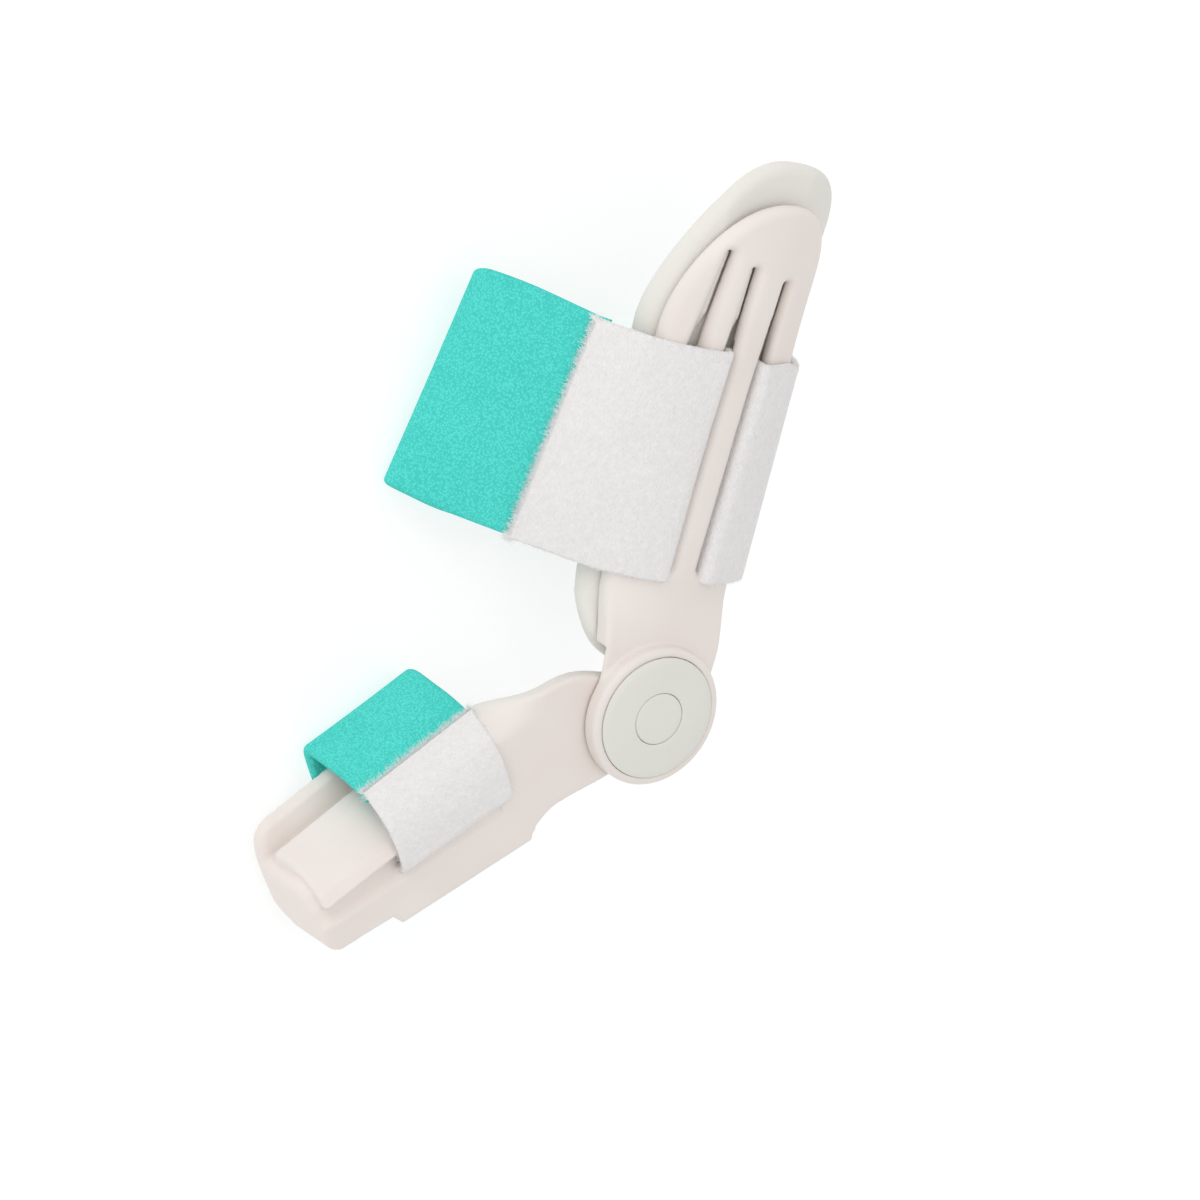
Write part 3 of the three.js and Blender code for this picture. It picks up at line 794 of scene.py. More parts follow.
@dataclass(frozen=True)
class StudioPaper:
    """Matt white paper of the floor, with the faintest unevenness."""

    name: str = "studio_paper"
    colour: tuple = srgb(165, 165, 165)
    glow: float = 0.7

    def make(self) -> bpy.types.Material:
        """Build the material.

        Returns:
            The material.
        """
        graph = Graph(self.name)
        cloud = graph.noise(graph.place(), 2.0, 2.0)
        return graph.shade(
            base_color=graph.mix(cloud * 0.3, self.colour, srgb(161, 161, 161)),
            roughness=0.9,
            specular_ior_level=0.1,
            emission_color=WHITE,
            emission_strength=self.glow,
        )


def dress(piece: bpy.types.Object, material: bpy.types.Material, side: Side, slot: str, *nodes: str) -> None:
    """Give a piece its finish and its body, hide the CAD nodes that it stands for, and report it.

    Args:
        piece: the finished object.
        material: its finish.
        side: the part that it moves with.
        slot: the record's material slot; not used.
        nodes: the CAD nodes that it replaces.
    """
    piece.data.materials.clear()
    piece.data.materials.append(material)
    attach(piece, side.value)
    if nodes:
        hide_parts(*nodes)
    log.info("%s: %d points, %d faces", piece.name, len(piece.data.vertices), len(piece.data.polygons))


@dataclass
class Hinge:
    """The riveted hinge: boss, cap and pin."""

    cap_radius: float = 13.0
    cap_recess: float = 1.2
    cap_bevel: float = 0.7
    cap_dome: float = 0.9
    dome_fall: float = 0.42
    cap_lip: float = 0.35
    head_radius: float = 5.6
    shaft_radius: float = 3.0
    back_height: float = 1.2
    boss_radius: float = 15.1
    boss_rounding: float = 1.2
    boss_height: float = 3.2
    foot_hub: float = 4.2
    toe_hub_radius: float = 12.4
    gap: float = 0.3

    @property
    def toe_face(self) -> float:
        """Height of the toe part's front face."""
        return -self.foot_hub - self.gap

    def seat(self, radius: Array, z: Array) -> Array:
        """Signed distance to the hollow that the cap sits in."""
        return np.maximum(radius - self.cap_radius - self.gap, -self.cap_recess - z)

    def boss(self, p: Array) -> Array:
        """Signed distance to the boss: a disc with a rounded rim, less the seat of the cap.

        Args:
            p: places in the hinge frame, one per row.
        Returns:
            The distance at each place.
        """
        x, y, z = p.T
        radius = np.hypot(x, y)
        rim = common(self.boss_rounding, radius - self.boss_radius, z)
        disc = np.maximum(rim, -self.foot_hub - z)
        return common(0.25, disc, -self.seat(radius, z))

    def cap(self) -> bpy.types.Object:
        """Build the cap: a ring with a soft bevel, and a low dome that falls by the square of the radius.

        Returns:
            The cap's object.
        """
        seat, bore = self.gap - self.cap_recess, self.head_radius + self.gap * 0.25
        rim, top, lip = self.cap_radius + self.gap * 0.75, self.cap_dome, self.cap_lip
        edge = [[rim, seat], [rim, -0.05]]
        edge += bezier([[rim, -0.05], [rim, 0.32], [rim - self.cap_bevel, 0.42]], 6).tolist()
        dome = np.linspace(self.cap_radius - self.cap_bevel, bore + lip, 16)
        fall = ((dome - bore) / (self.cap_radius - bore)) ** 2
        edge += np.stack([dome, top - self.dome_fall * fall], axis=1).tolist()
        edge += bezier([[bore + lip, top], [bore, top], [bore, top - lip]], 5).tolist()
        edge += [[bore, seat], [rim, seat]]
        return turned("cap_ring", np.array(edge), 128, Side.FOOT)

    def pin(self, toe_back: float) -> bpy.types.Object:
        """Build the pin: a rounded head, its shaft through both hubs, and the rolled back.

        Args:
            toe_back: height of the toe part's back.
        Returns:
            The pin's object.
        """
        low, seat, head = toe_back - self.gap, self.gap - self.cap_recess, self.head_radius
        top, end = self.cap_dome, low - self.back_height
        profile = [[0.0, end], [head - 0.5, end]]
        profile += bezier([[head - 0.5, end], [head, end], [head, low - 0.6]], 5).tolist()
        profile += [[head, low], [self.shaft_radius, low], [self.shaft_radius, seat], [head, seat]]
        profile += [[head, top - 0.4]]
        profile += bezier([[head, top - 0.4], [head, top], [head - 0.5, top + 0.02]], 6).tolist()
        dish = np.linspace(head - 0.9, 0.0, 14)
        profile += np.stack([dish, top + 0.04 + 0.05 * (1.0 - (dish / head) ** 2)], axis=1).tolist()
        return turned("rivet", np.array(profile), 96, Side.FOOT)

    def build(self, toe_back: float, plastic: bpy.types.Material) -> None:
        """Make and dress the cap and the pin."""
        dress(self.cap(), plastic, Side.FOOT, "cap", "hinge_cap")
        dress(self.pin(toe_back), plastic, Side.FOOT, "cap", "pivot_pin")


@dataclass
class FootPlate:
    """The foot part's moulded plate with its four ribs, and the soft liner behind it."""

    hinge: Hinge
    arm_thickness: float = 5.0
    fork_thickness: float = 4.0
    crown_radius: float = 30.0
    crown_start: float = 12.0
    crown_full: float = 27.0
    arm_half: float = 13.2
    fork_half: float = 17.5
    fork_widest: float = 81.0
    fork_length: float = 110.4
    pocket_shoulder: float = 13.2
    rib_half: float = 3.3
    slot_width: float = 2.6
    outer_inset: float = 12.4
    outer_slot: float = 2.6
    slot_start: float = 31.6
    slot_end: float = 95.0
    stagger: float = 2.0
    rib_lean: float = 1.35
    tip_narrowing: float = 0.45
    outer_lean: float = 5.0
    slot_bend: float = 14.0
    liner_thickness: float = 4.5
    liner_edge: float = 1.8
    liner_start: float = 7.6
    liner_end: float = 118.0
    liner_heel: float = 14.0
    arm_edge: float = 1.1
    fork_edge: float = 1.9
    right_trim: float = 1.3
    pad_sink: float = 2.5
    bead_start: float = 79.8
    slot_rounding: float = 2.1
    relief_middle: float = 53.75
    relief_half: float = 26.75
    toe_arm_thickness: float = 3.7
    plate_box: tuple = ((-17.0, -19.5, -20.0), (112.5, 19.5, 1.4))
    liner_box: tuple = ((5.0, -21.5, -24.0), (120.5, 21.5, -3.5))
    step: float = 0.42
    liner_step: float = 0.46

    @property
    def slot_line(self) -> float:
        """Middle of an inner slot, from the plate's middle line."""
        return self.rib_half + self.slot_width / 2

    def reach(self, y: Array) -> Array:
        """Distance from the middle line, kept within the crown's circle."""
        return np.minimum(np.abs(y), self.crown_radius * 0.95)

    def crown_drop(self, x: Array, y: Array) -> Array:
        """Fall of the plate behind its middle line: a circle's fall, growing in after the arm and easing later.

        Args:
            x: places along the plate.
            y: places across it.
        Returns:
            The fall at each place.
        """
        rise = smoothstep(x, self.crown_start, self.crown_full)
        relax = 1.0 - 0.35 * smoothstep(x, self.fork_widest, self.fork_length)
        return (self.crown_radius - np.sqrt(self.crown_radius**2 - self.reach(y) ** 2)) * rise * relax

    def upright(self, x: Array, y: Array) -> Array:
        """Cosine of the crown's slope, which turns a height over the plate into a distance from it."""
        rise = smoothstep(x, self.crown_start, self.crown_full)
        return np.sqrt(1.0 - (self.reach(y) / self.crown_radius) ** 2 * rise)

    def thickness(self, x: Array) -> Array:
        """Plate thickness: the arm's, easing into the fork's."""
        share = smoothstep(x, self.crown_start, self.crown_full)
        return self.arm_thickness + (self.fork_thickness - self.arm_thickness) * share

    def paddle(self, start: float, shoulder: float, neck: float, half: float, end: float, full: float,
               corner: float, right: float) -> Array:
        """Outline of the plate or liner.

        Args:
            start: where the flanks start.
            shoulder: half width there.
            neck: right half width where the crown is full.
            half: half width at the widest place.
            end: the upper end.
            full: how far the left sweep keeps its width, as a share of the tip.
            corner: where the right corner starts, as a share of the tip.
            right: half width on the right.
        Returns:
            The outline: straight flanks joined by two Bezier curves round the tip.
        """
        tip, widest, rise = end - self.fork_widest, self.fork_widest, self.crown_full
        flank = [[start, shoulder], [rise * 0.8, half * 0.9], [rise * 1.6, half * 0.965], [widest, half]]
        left = [[widest, half], [widest + tip * full, half * 0.97], [end, half * 0.5], [end, -half * 0.2]]
        turn = [[end, -half * 0.2], [end, -right * 0.8], [end - tip * 0.4 * corner, -right],
                [end - tip * corner, -right]]
        back = [[end - tip * corner, -right], [rise * 1.7, -half], [rise * 1.1, -neck], [start, -shoulder]]
        curves = [bezier(ring, count) for ring, count in ((flank, 12), (left, 26), (turn, 22), (back, 16))]
        return np.concatenate([[[start, shoulder]], *curves])

    def slot(self, x: Array, y: Array, line: Sequence[float], end: float, width: float) -> Array:
        """Signed distance to a slot: the distance to its bent middle line, less half its width.

        Args:
            x: places along the plate.
            y: places across it.
            line: where the middle line lies across the plate at its start, its bend and its end.
            end: where the slot ends along the plate.
            width: its width before it narrows towards its end.
        Returns:
            The distance at each place.
        """
        along = [self.slot_start, self.fork_widest - self.slot_bend / 2, end]
        path = rounded_path(np.stack([along, line], axis=1), self.slot_bend, 6)
        narrow = self.tip_narrowing * smoothstep(x, self.fork_widest - self.slot_bend, end)
        return path_distance(x, y, path) - width / 2 + narrow

    def slots(self, x: Array, y: Array) -> Array:
        """Signed distance to the nearest of the three slots.

        Args:
            x: places along the plate.
            y: places across it.
        Returns:
            The distance at each place.
        """
        inner, outer, lean = self.slot_line, self.outer_inset + self.outer_slot / 2, self.rib_lean
        lines = (
            ((inner, inner - lean, inner - lean * 1.8), self.stagger / 2, self.slot_width),
            ((-inner, -inner - lean, -inner - lean * 1.8), -self.stagger * 0.8, self.slot_width),
            ((outer - lean, outer - lean * 1.8, outer - self.outer_lean), 2 * self.stagger, self.outer_slot),
        )
        return np.minimum.reduce([
            self.slot(x, y, line, self.slot_end + shift, width) for line, shift, width in lines
        ])

    def plate_field(self, p: Array) -> Array:
        """Signed distance to the plate: the crowned slab within its outline, joined to the boss, less hollows.

        Args:
            p: places in the hinge frame, one per row.
        Returns:
            The distance at each place.
        """
        x, y, z = p.T
        hinge = self.hinge
        face, upright = -hinge.boss_height - self.crown_drop(x, y), self.upright(x, y)
        corners = self.paddle(-1.0, self.arm_half, self.arm_half + 0.8, self.fork_half, self.fork_length, 0.55,
                              0.6, self.fork_half - self.right_trim)
        outline = polygon_distance(x, y, corners)
        top, back = (z - face) * upright, (face - self.thickness(x) - z) * upright
        edge = self.arm_edge + (self.fork_edge - self.arm_edge) * smoothstep(x, 20.0, 34.0)
        slab = common(edge, outline, top, back)
        plate = joined(0.7, slab, hinge.boss(p))
        plate = common(self.slot_rounding, plate, -self.slots(x, y))
        radius = np.hypot(x, y)
        pocket = np.maximum(x - self.pocket_shoulder, z + hinge.foot_hub)
        rib_back = -hinge.boss_height - self.fork_thickness + 1.4 + hinge.gap
        relief = np.maximum(np.abs(x - self.relief_middle) - self.relief_half,
                            np.abs(y + self.rib_lean / 2) - self.slot_line - 2.0)
        relief = np.maximum(relief, z - rib_back)
        bore = radius - hinge.shaft_radius - hinge.gap
        for hollow in (hinge.seat(radius, z), relief, bore):
            plate = np.maximum(plate, -hollow)
        return common(0.6, plate, -pocket)

    def liner_field(self, p: Array) -> Array:
        """Signed distance to the liner: the slab behind the plate in its own outline, with beads in the slots.

        Args:
            p: places in the hinge frame, one per row.
        Returns:
            The distance at each place.
        """
        x, y, z = p.T
        half, start = self.fork_half + self.liner_edge, self.liner_start
        paddle = self.paddle(start + self.liner_heel, half * 0.93, half * 0.93, half, self.liner_end, 0.42,
                             0.36, half + 0.5)
        heel = start + self.liner_heel * 0.43
        low = bezier([paddle[-1], [heel, -half * 0.9], [start, -half * 0.6], [start, 0.0]], 12)
        high = bezier([low[-1], [start, half * 0.6], [heel, half * 0.9], paddle[0]], 12)[:-1]
        outline = polygon_distance(x, y, np.concatenate([paddle, low, high]))
        gap = self.hinge.gap
        face = -self.hinge.boss_height - self.crown_drop(x, y) - self.thickness(x) - gap
        floor = np.minimum(face, self.hinge.toe_face - self.toe_arm_thickness - gap)
        upright = self.upright(x, y)
        pad = common(1.9, outline, (z - floor) * upright, (floor - self.liner_thickness - z) * upright)
        top = -self.hinge.boss_height - self.crown_drop(x, y) - self.pad_sink
        top = top - 0.3 * np.maximum(0.0, self.bead_start + 6.0 - x)
        bead = common(0.5, self.slots(x, y) + 0.2, z - top, floor - 1.0 - z, self.bead_start - x)
        return joined(0.3, pad, bead)

    def build(self, plastic: bpy.types.Material, rubber: bpy.types.Material) -> None:
        """Make and dress the plate and the liner.

        Args:
            plastic: the plate's finish.
            rubber: the liner's finish.
        """
        points, faces = contour(self.plate_field, *self.plate_box, self.step)
        plate = make_object("slotted_plate", points, faces, Side.FOOT)
        dress(plate, plastic, Side.FOOT, "shell", "foot_plate")
        points, faces = contour(self.liner_field, *self.liner_box, self.liner_step)
        liner = make_object("soft_pad", points, faces, Side.FOOT)
        dress(liner, rubber, Side.FOOT, "liner", "foot_liner")


@dataclass
class Straps:
    """Sizes and lines of the foot strap: white tape over the plate, and the foam loop behind it."""

    plate: FootPlate
    tape: float = 1.4
    foam: float = 2.6
    lap: float = 2.5
    start: float = 28.5
    width: float = 50.5
    reach_low: float = 51.9
    reach_high: float = 41.8
    crease_depth: float = 46.5
    crease_lift: float = 3.9
    crease_taper: float = 2.7
    stop_low: float = 17.6
    stop_high: float = 15.1
    slip: float = 11.8
    taper: float = 2.3
    loop_depth: float = 50.0
    back_start: float = -6.0
    tail: float = 9.0
    bow: float = 1.6
    slot_gap: float = 0.5

    def strap_depth(self, y: float) -> float:
        """Depth of the plate's face under the strap, at a place across it."""
        drop = self.plate.crown_drop(np.array(self.start + self.width / 2), np.array(y))
        return self.plate.hinge.boss_height + float(drop)

    def front_depth(self, y: float) -> float:
        """Depth of the tape's middle surface over the plate."""
        return self.strap_depth(y) - self.plate.hinge.gap - self.tape / 2

    def rest_depth(self, x: float) -> float:
        """Depth of the surface that the straps lie on, which slopes along X."""
        return self.loop_depth + REST_SLOPE * (x - self.start - self.width * 0.4)

    def ends(self) -> list[dict[str, float]]:
        """The strap's two end sections, which differ because the strap is pulled askew.

        Returns:
            Sizes by name for the lower and the upper edge: where it lies (x), how far the crease reaches, how
            far before it the tape stops, shifts along X of crease (lift), tape (taper), tape's end (rise), bow
            (bulge) and right wrap (sag), the rib's lean, and shares of the back's slip (drag and slip).
        """
        low = {"x": self.start, "reach": self.reach_low, "stop": self.stop_low, "lift": self.crease_lift,
               "taper": 0.0, "rib": 0.0, "rise": 1.8, "bulge": 0.0, "drag": 0.2, "slip": 0.6, "sag": 0.0}
        high = {"x": self.start + self.width, "reach": self.reach_high, "stop": self.stop_high,
                "lift": self.crease_lift - self.crease_taper, "taper": self.taper, "rib": -self.plate.rib_lean,
                "rise": 0.0, "bulge": 1.5, "drag": 0.74, "slip": 1.06, "sag": 1.5}
        return [low, high]

    def tape_stop(self, end: dict[str, float]) -> Array:
        """Where the white tape stops on the foam."""
        return np.array([end["reach"] - end["stop"], self.crease_depth * 0.42, end["rise"]])

    @property
    def plate_edge(self) -> float:
        """Where the tape leaves the plate on the left."""
        return self.plate.fork_half + self.slot_gap + self.tape

    @property
    def wrap(self) -> float:
        """Where the tape passes the liner on the right."""
        return self.plate.fork_half + self.plate.liner_edge + self.slot_gap + self.tape

    def tape_path(self, end: dict[str, float]) -> Array:
        """Corners of the tape's line, from the right wrap over the plate, under the rib and out to the foam.

        Args:
            end: the end section.
        Returns:
            Across, depth and shift along X, one corner per row.
        """
        edge, line, right = self.plate_edge, self.plate.slot_line, -end["taper"]
        depth = self.strap_depth(self.wrap)
        under = self.plate.hinge.boss_height + self.plate.fork_thickness - self.tape / 2
        corner = self.plate.fork_half - self.plate.right_trim + self.slot_gap + self.tape * 0.6
        sag = right - end["sag"]
        rows = [[-self.wrap, depth + self.tail, sag], [-self.wrap, depth + self.tail / 3, sag]]
        rows.append([-corner, self.front_depth(corner), sag])
        left, enter = line + end["rib"], end["rib"] - line
        rows += [[y, self.front_depth(y), right] for y in (-0.8 * corner, -0.6 * corner, enter)]
        rows += [[enter, under, right], [left, under, 0.0]]
        rows += [[y, self.front_depth(y), 0.0] for y in (left, 0.49 * edge, 0.67 * edge, 0.825 * edge, edge)]
        return np.array(rows + [self.tape_stop(end)])

    def lap_corners(self, before: Array, stop: Array, lap: float) -> list[Array]:
        """Line on which the foam turns up under the tape: inward of its end by half the tape and the gap.

        Args:
            before: the tape's last corner before its end.
            stop: the tape's end.
            lap: how far the foam runs back under the tape.
        Returns:
            The foam's first two corners.
        """
        along = (stop[:2] - before[:2]) / np.linalg.norm(stop[:2] - before[:2])
        inward = self.plate.hinge.gap + self.tape / 2
        turn = np.array([stop[0] - along[1] * inward, stop[1] + along[0] * inward, stop[2]])
        return [turn - np.array([along[0] * lap, along[1] * lap, 0.0]), turn]

    def foam_path(self, end: dict[str, float]) -> Array:
        """Corners of the foam's line, from the lap round the crease and the back up to the right wrap.

        Args:
            end: the end section.
        Returns:
            Across, depth and shift along X, one corner per row.
        """
        stop, edge = self.tape_stop(end), self.plate_edge
        bow = stop[0] + (end["reach"] - stop[0]) * 0.55 + self.bow
        rows = self.lap_corners(np.array([edge, self.front_depth(edge), 0.0]), stop, self.lap)
        shift = (end["lift"] + end["rise"]) * 0.5 + end["bulge"]
        rows.append([bow, (stop[1] + self.crease_depth) / 2, shift])
        rows.append([end["reach"], self.crease_depth, end["lift"]])
        for y, share in ((end["reach"] * 0.64, end["drag"]), (self.back_start, end["slip"])):
            shift = -self.slip * share
            rows.append([y, self.rest_depth(end["x"] + shift), shift])
        rows.append([-0.876 * edge, 0.72 * self.loop_depth, -self.slip * 0.9])
        depth = self.strap_depth(self.wrap) + self.tail + self.slot_gap
        rows.append([-self.wrap, depth, -end["taper"] - 1.0])
        return np.array(rows)

    def place(self, points: Array, shares: Array) -> Array:
        """Section points (across, depth, shift) to places: the share of the width and the shift give X."""
        x = self.start + self.width * shares + points[:, 2]
        return np.stack([x, points[:, 0], -points[:, 1]], axis=1)

    def build(self, tape: bpy.types.Material, foam: bpy.types.Material, fibre: bpy.types.Material) -> None:
        """Args:
            tape: the tape's finish.
            foam: the foam's finish.
            fibre: the loose fibres' finish, a whiter copy of the tape's that paints them as lit.
        """
        low, high = (rounded_path(self.tape_path(end), 1.8, 5) for end in self.ends())
        strip = Strip(low, high, self.tape, 0.0, self.place, 0.6, 60, 0.6)
        band = strip.surface("foot_tape", Side.FOOT)
        dress(band, tape, Side.FOOT, "loop_tape", "foot_strap_tape")
        pile = strip.fringe("foot_tape_fringe", Side.FOOT, 6500)
        dress(pile, fibre, Side.FOOT, "loop_tape")
        low, high = (rounded_path(self.foam_path(end), 6.0, 10) for end in self.ends())
        loop = Strip(low, high, self.foam, -self.foam / 2, self.place, 1.2).surface("foot_foam", Side.FOOT)
        dress(loop, foam, Side.FOOT, "strap_foam", "foot_strap_foam")


# Corners of the tray's wall, as shares of the ridge's reach, of the depth and of the rise; then for the outer
# ones shares of the tongue's lift and of the draw to the middle, and for the inner ones of the wall.
TRAY_OUTER = np.array([
    [-0.72, 0, 0.25, 0, 0], [-0.52, 0.06, 0.4, 0, 0], [-0.3, 0.085, 0.8, 0, 0], [-0.16, 0.06, 1, 1.1, 0.3],
    [0.122, 0.15, 1.05, 1.35, 0.2], [0.439, 0.318, 1.08, 0, 0.6], [0.61, 0.494, 1.08, 0, 1.1],
    [0.683, 0.647, 1.05, 0, 1.3], [0.27, 0.7, 1.05, 0, 0], [0.34, 0.79, 1, 0, 0], [0.902, 0.847, 1, 0, 0],
    [1, 0.906, 1, 0, 0], [0.951, 0.976, 1, 0, 0], [0.78, 1, 1, 0, 0]])
TRAY_INNER = np.array([
    [0.366, 0.953, 1, 0], [0.122, 0.671, 1, 0], [-0.073, 0.412, 0.95, 0], [-0.415, 0.118, 0.75, 1],
    [-0.793, 0.031, 0.4, 1], [-1.098, 0, 0.2, 1]])


@dataclass
class ToePart:
    """The toe part: hub, arm and tray in one moulding, with its narrow strap. Depths count behind the boss."""

    straps: Straps
    arm_thickness: float = 3.7
    arm_lower: float = -9.5
    arm_upper: float = 17.0
    wall: float = 3.4
    tray_start: float = 31.0
    tray_end: float = 83.0
    tray_depth: float = 30.0
    tray_rise: float = 0.155
    ridge: float = 8.2
    skirt_drop: float = 13.6
    skirt_start: float = 30.5
    skirt_end: float = 68.0
    notch_rise: float = 1.9
    tongue_height: float = 2.0
    tongue_end: float = 80.6
    tongue_full: float = 44.0
    nose_sink: float = 0.7
    tip_wall: float = 2.6
    strap_start: float = 34.5
    strap_width: float = 28.5
    strap_top: float = 19.8
    strap_bottom: float = -15.5
    strap_taper: float = 4.0
    slot_place: float = -2.8
    slot_slope: float = 0.075
    tape_tail: float = 9.5
    tape_end: float = 10.4
    shoulder: float = 18.0
    crease: float = 35.0
    back_half: float = 8.0
    return_depth: float = 27.0
    inner_depth: float = 15.0
    box: tuple = ((-14.0, -24.0, -32.5), (85.5, 16.5, -1.0))
    step: float = 0.45

    @property
    def face(self) -> float:
        """Depth of the front face."""
        return -self.straps.plate.hinge.toe_face

    @property
    def lower_edge(self) -> float:
        """Place of the tray's lower edge across it."""
        return self.notch_rise - self.skirt_drop

    def section(self, t: Array, past_tongue: bool) -> Array:
        """Corners of the tray's wall at places along it.

        Each corner is its share of the ridge's reach plus its share of the rise, which falls to nothing at the
        tip. Before the break the tongue stands up, and past it the nose lies a little lower.

        Args:
            t: places along the tray.
            past_tongue: whether the section is the nose's, past the tongue.
        Returns:
            Corners as (corner, 2, place): across and depth.
        """
        rise = (self.tray_end - t) * self.tray_rise
        fall = self.tray_depth - self.face
        grown = self.tongue_height * smoothstep(t, self.strap_start, self.tongue_full)
        lift = np.full_like(rise, -self.nose_sink) if past_tongue else grown
        a, d, r, lifted, draw = TRAY_OUTER.T[:, :, None]
        across = self.ridge * a + rise * r - (self.tongue_height - lift) * draw
        depth = self.face + fall * d - lift * lifted
        a, d, r, walls = TRAY_INNER.T[:, :, None]
        inner_across = self.ridge * a + rise * r
        inner_depth = np.broadcast_to(self.face + fall * d + self.wall * walls, inner_across.shape)
        edge = np.full((1,) + np.shape(t), self.lower_edge)
        first = np.stack([edge, np.full_like(edge, self.face)], axis=1)
        last = np.stack([edge, np.full_like(edge, self.face + self.wall)], axis=1)
        ring = [first, np.stack([across, depth], axis=1), np.stack([inner_across, inner_depth], axis=1), last]
        return np.concatenate(ring)

    def slot_line(self, t: Array | float) -> Array | float:
        """Middle line of the slot that the tape goes through."""
        return self.slot_place + (self.tongue_end - self.skirt_start * 0.58 - t) * self.slot_slope

    def arm_outline(self) -> Array:
        """Outline of the flat arm from the hub to the tray, with Bezier curves for its bends.

        Returns:
            Corners along the toe part and across it, one per row.
        """
        hub, upper, start = self.straps.plate.hinge.toe_hub_radius, self.arm_upper, self.skirt_start
        end, under, lower = self.strap_start + 3.0, self.arm_lower + 0.4, self.lower_edge
        first = [hub * 0.32, hub * 0.887]
        shoulder = [first, [hub * 0.645, hub * 1.09], [hub * 0.887, upper], [hub * 1.45, upper]]
        tray = [[end, upper + 0.6], [end, lower], [start + 1.5, lower]]
        notch = [tray[-1], [start - 1, under - 1.4], [start - 3, under], [start - 6, under]]
        flank = [notch[-1], [hub * 1.45, under], [hub * 1.13, self.arm_lower - 0.5],
                 [hub * 0.645, self.arm_lower]]
        return np.concatenate([[first], bezier(shoulder, 12), tray, bezier(notch, 8), bezier(flank, 8)])

    def plate_field(self, points: Array) -> Array:
        """Signed distance to the moulding: tray, nose, arm, hub and skirt joined, less the slot and the bore.

        Args:
            points: places in the toe frame, one per row.
        Returns:
            The distance at each place.
        """
        t, p, depth = points[:, 0], -points[:, 1], -points[:, 2]
        face, end = self.face, self.tray_end
        clipped = np.clip(t, self.tray_start, end)
        brake = self.tongue_end + 0.5
        low = polygon_distance(p, depth, self.section(clipped, False))
        high = polygon_distance(p, depth, self.section(np.clip(t, brake - 3, end), True))
        start = self.tray_start + 0.28 * np.maximum(0.0, depth - face)
        nose_end = t - end - 0.3
        for pull, past in ((0.036, p - 1.5), (0.03, -8.0 - p), (0.1, p - 5.2), (0.016, depth - 22.0)):
            nose_end = nose_end + pull * np.maximum(0.0, past) ** 2
        nose_end = nose_end * 0.85
        middle = np.clip((depth - 13.0) / 8.0, -1.2, 1.2)
        low = common(1.8, low, nose_end)
        tongue = common(0.9, low, t - brake - 0.5 + 0.7 * (1.0 - middle**2), (start - t) * 0.95)
        tip = common(1.8, high, nose_end, brake - 6.0 - t)
        lower_edge, skirt_start, skirt_end = self.lower_edge, self.skirt_start, self.skirt_end
        upper = self.section(np.array([end]), True)[: len(TRAY_OUTER) + 1, :, 0]
        lower = np.array([[-0.24 * self.ridge, 0.97], [-1.04 * self.ridge, 0.88], [lower_edge * 1.034, 0.62],
                          [lower_edge * 1.017, 0.35]]) * [1.0, self.tray_depth]
        nose = common(1.9, polygon_distance(p, depth, np.concatenate([upper, lower])), nose_end,
                      end - self.tip_wall - 1.0 - t)
        tray = np.minimum(joined(0.25, tongue, tip), nose)
        bend = 0.165 * smoothstep(t, 20.0, 33.5) * np.maximum(0.0, p - 11.5) ** 2
        arm_depth = np.abs(depth - bend - face - self.arm_thickness / 2) - self.arm_thickness / 2
        arm = common(0.9, polygon_distance(t, p, self.arm_outline()), arm_depth * 0.8)
        arm_depth = np.abs(depth - face - self.arm_thickness / 2) - self.arm_thickness / 2
        hub = common(0.4, np.hypot(t, p) - self.straps.plate.hinge.toe_hub_radius, arm_depth)
        skirt_line = np.array([[skirt_start - 2, lower_edge + 5.0], [skirt_start + 1, lower_edge + 0.4],
                               [skirt_start + 2.4, -self.skirt_drop], [skirt_end - 2.2, -self.skirt_drop - 1],
                               [skirt_end, lower_edge + 0.4], [skirt_end + 2, lower_edge + 5.0]])
        wall_depth = np.abs(depth - face - self.wall / 2) - self.wall / 2
        skirt = common(0.9, polygon_distance(t, p, skirt_line), wall_depth)
        solid = np.minimum(np.minimum(tray, arm), np.minimum(hub, skirt))
        line = self.slot_line(t)
        slot_half = self.straps.tape / 2 + 0.15
        slot = np.maximum(np.abs(p - line) - slot_half, np.abs(t - self.strap_start - self.strap_width / 2)
                          - self.strap_width / 2 + 0.7)
        slot = np.maximum(slot, depth - face - self.tape_tail - self.wall)
        bore = np.hypot(t, p) - self.straps.plate.hinge.shaft_radius - self.straps.plate.hinge.gap
        return np.maximum(common(0.3, solid, -slot), -bore)

    def strap_upper(self, t: float) -> float:
        """Upper side of the strap, which comes down towards the tip."""
        return self.strap_top - self.strap_taper * (t - self.strap_start) / self.strap_width

    def tape_stop(self, t: float) -> Array:
        """Where the toe tape stops on its foam."""
        return np.array([self.strap_upper(t) - 1.0, self.tape_end, 0.0])

    def tape_path(self, t: float) -> Array:
        """Corners of the toe tape's line, out of the slot, over the tray and on to the foam.

        Args:
            t: the section's place along the toe part.
        Returns:
            Across, depth and nought, one corner per row.
        """
        rise, slot, tape = (self.tray_end - t) * self.tray_rise, self.slot_line(t), self.straps.tape
        rows = [[slot - 0.8, self.face + self.tape_tail, 0], [slot, self.face + self.tape_tail * 0.58, 0],
                [slot, self.face - tape * 0.93, 0], [rise + 0.6, self.face - tape * 1.36, 0],
                [rise * 1.1 + self.ridge * 0.66, self.face - tape * 0.14, 0], self.tape_stop(t)]
        return np.array(rows, float)

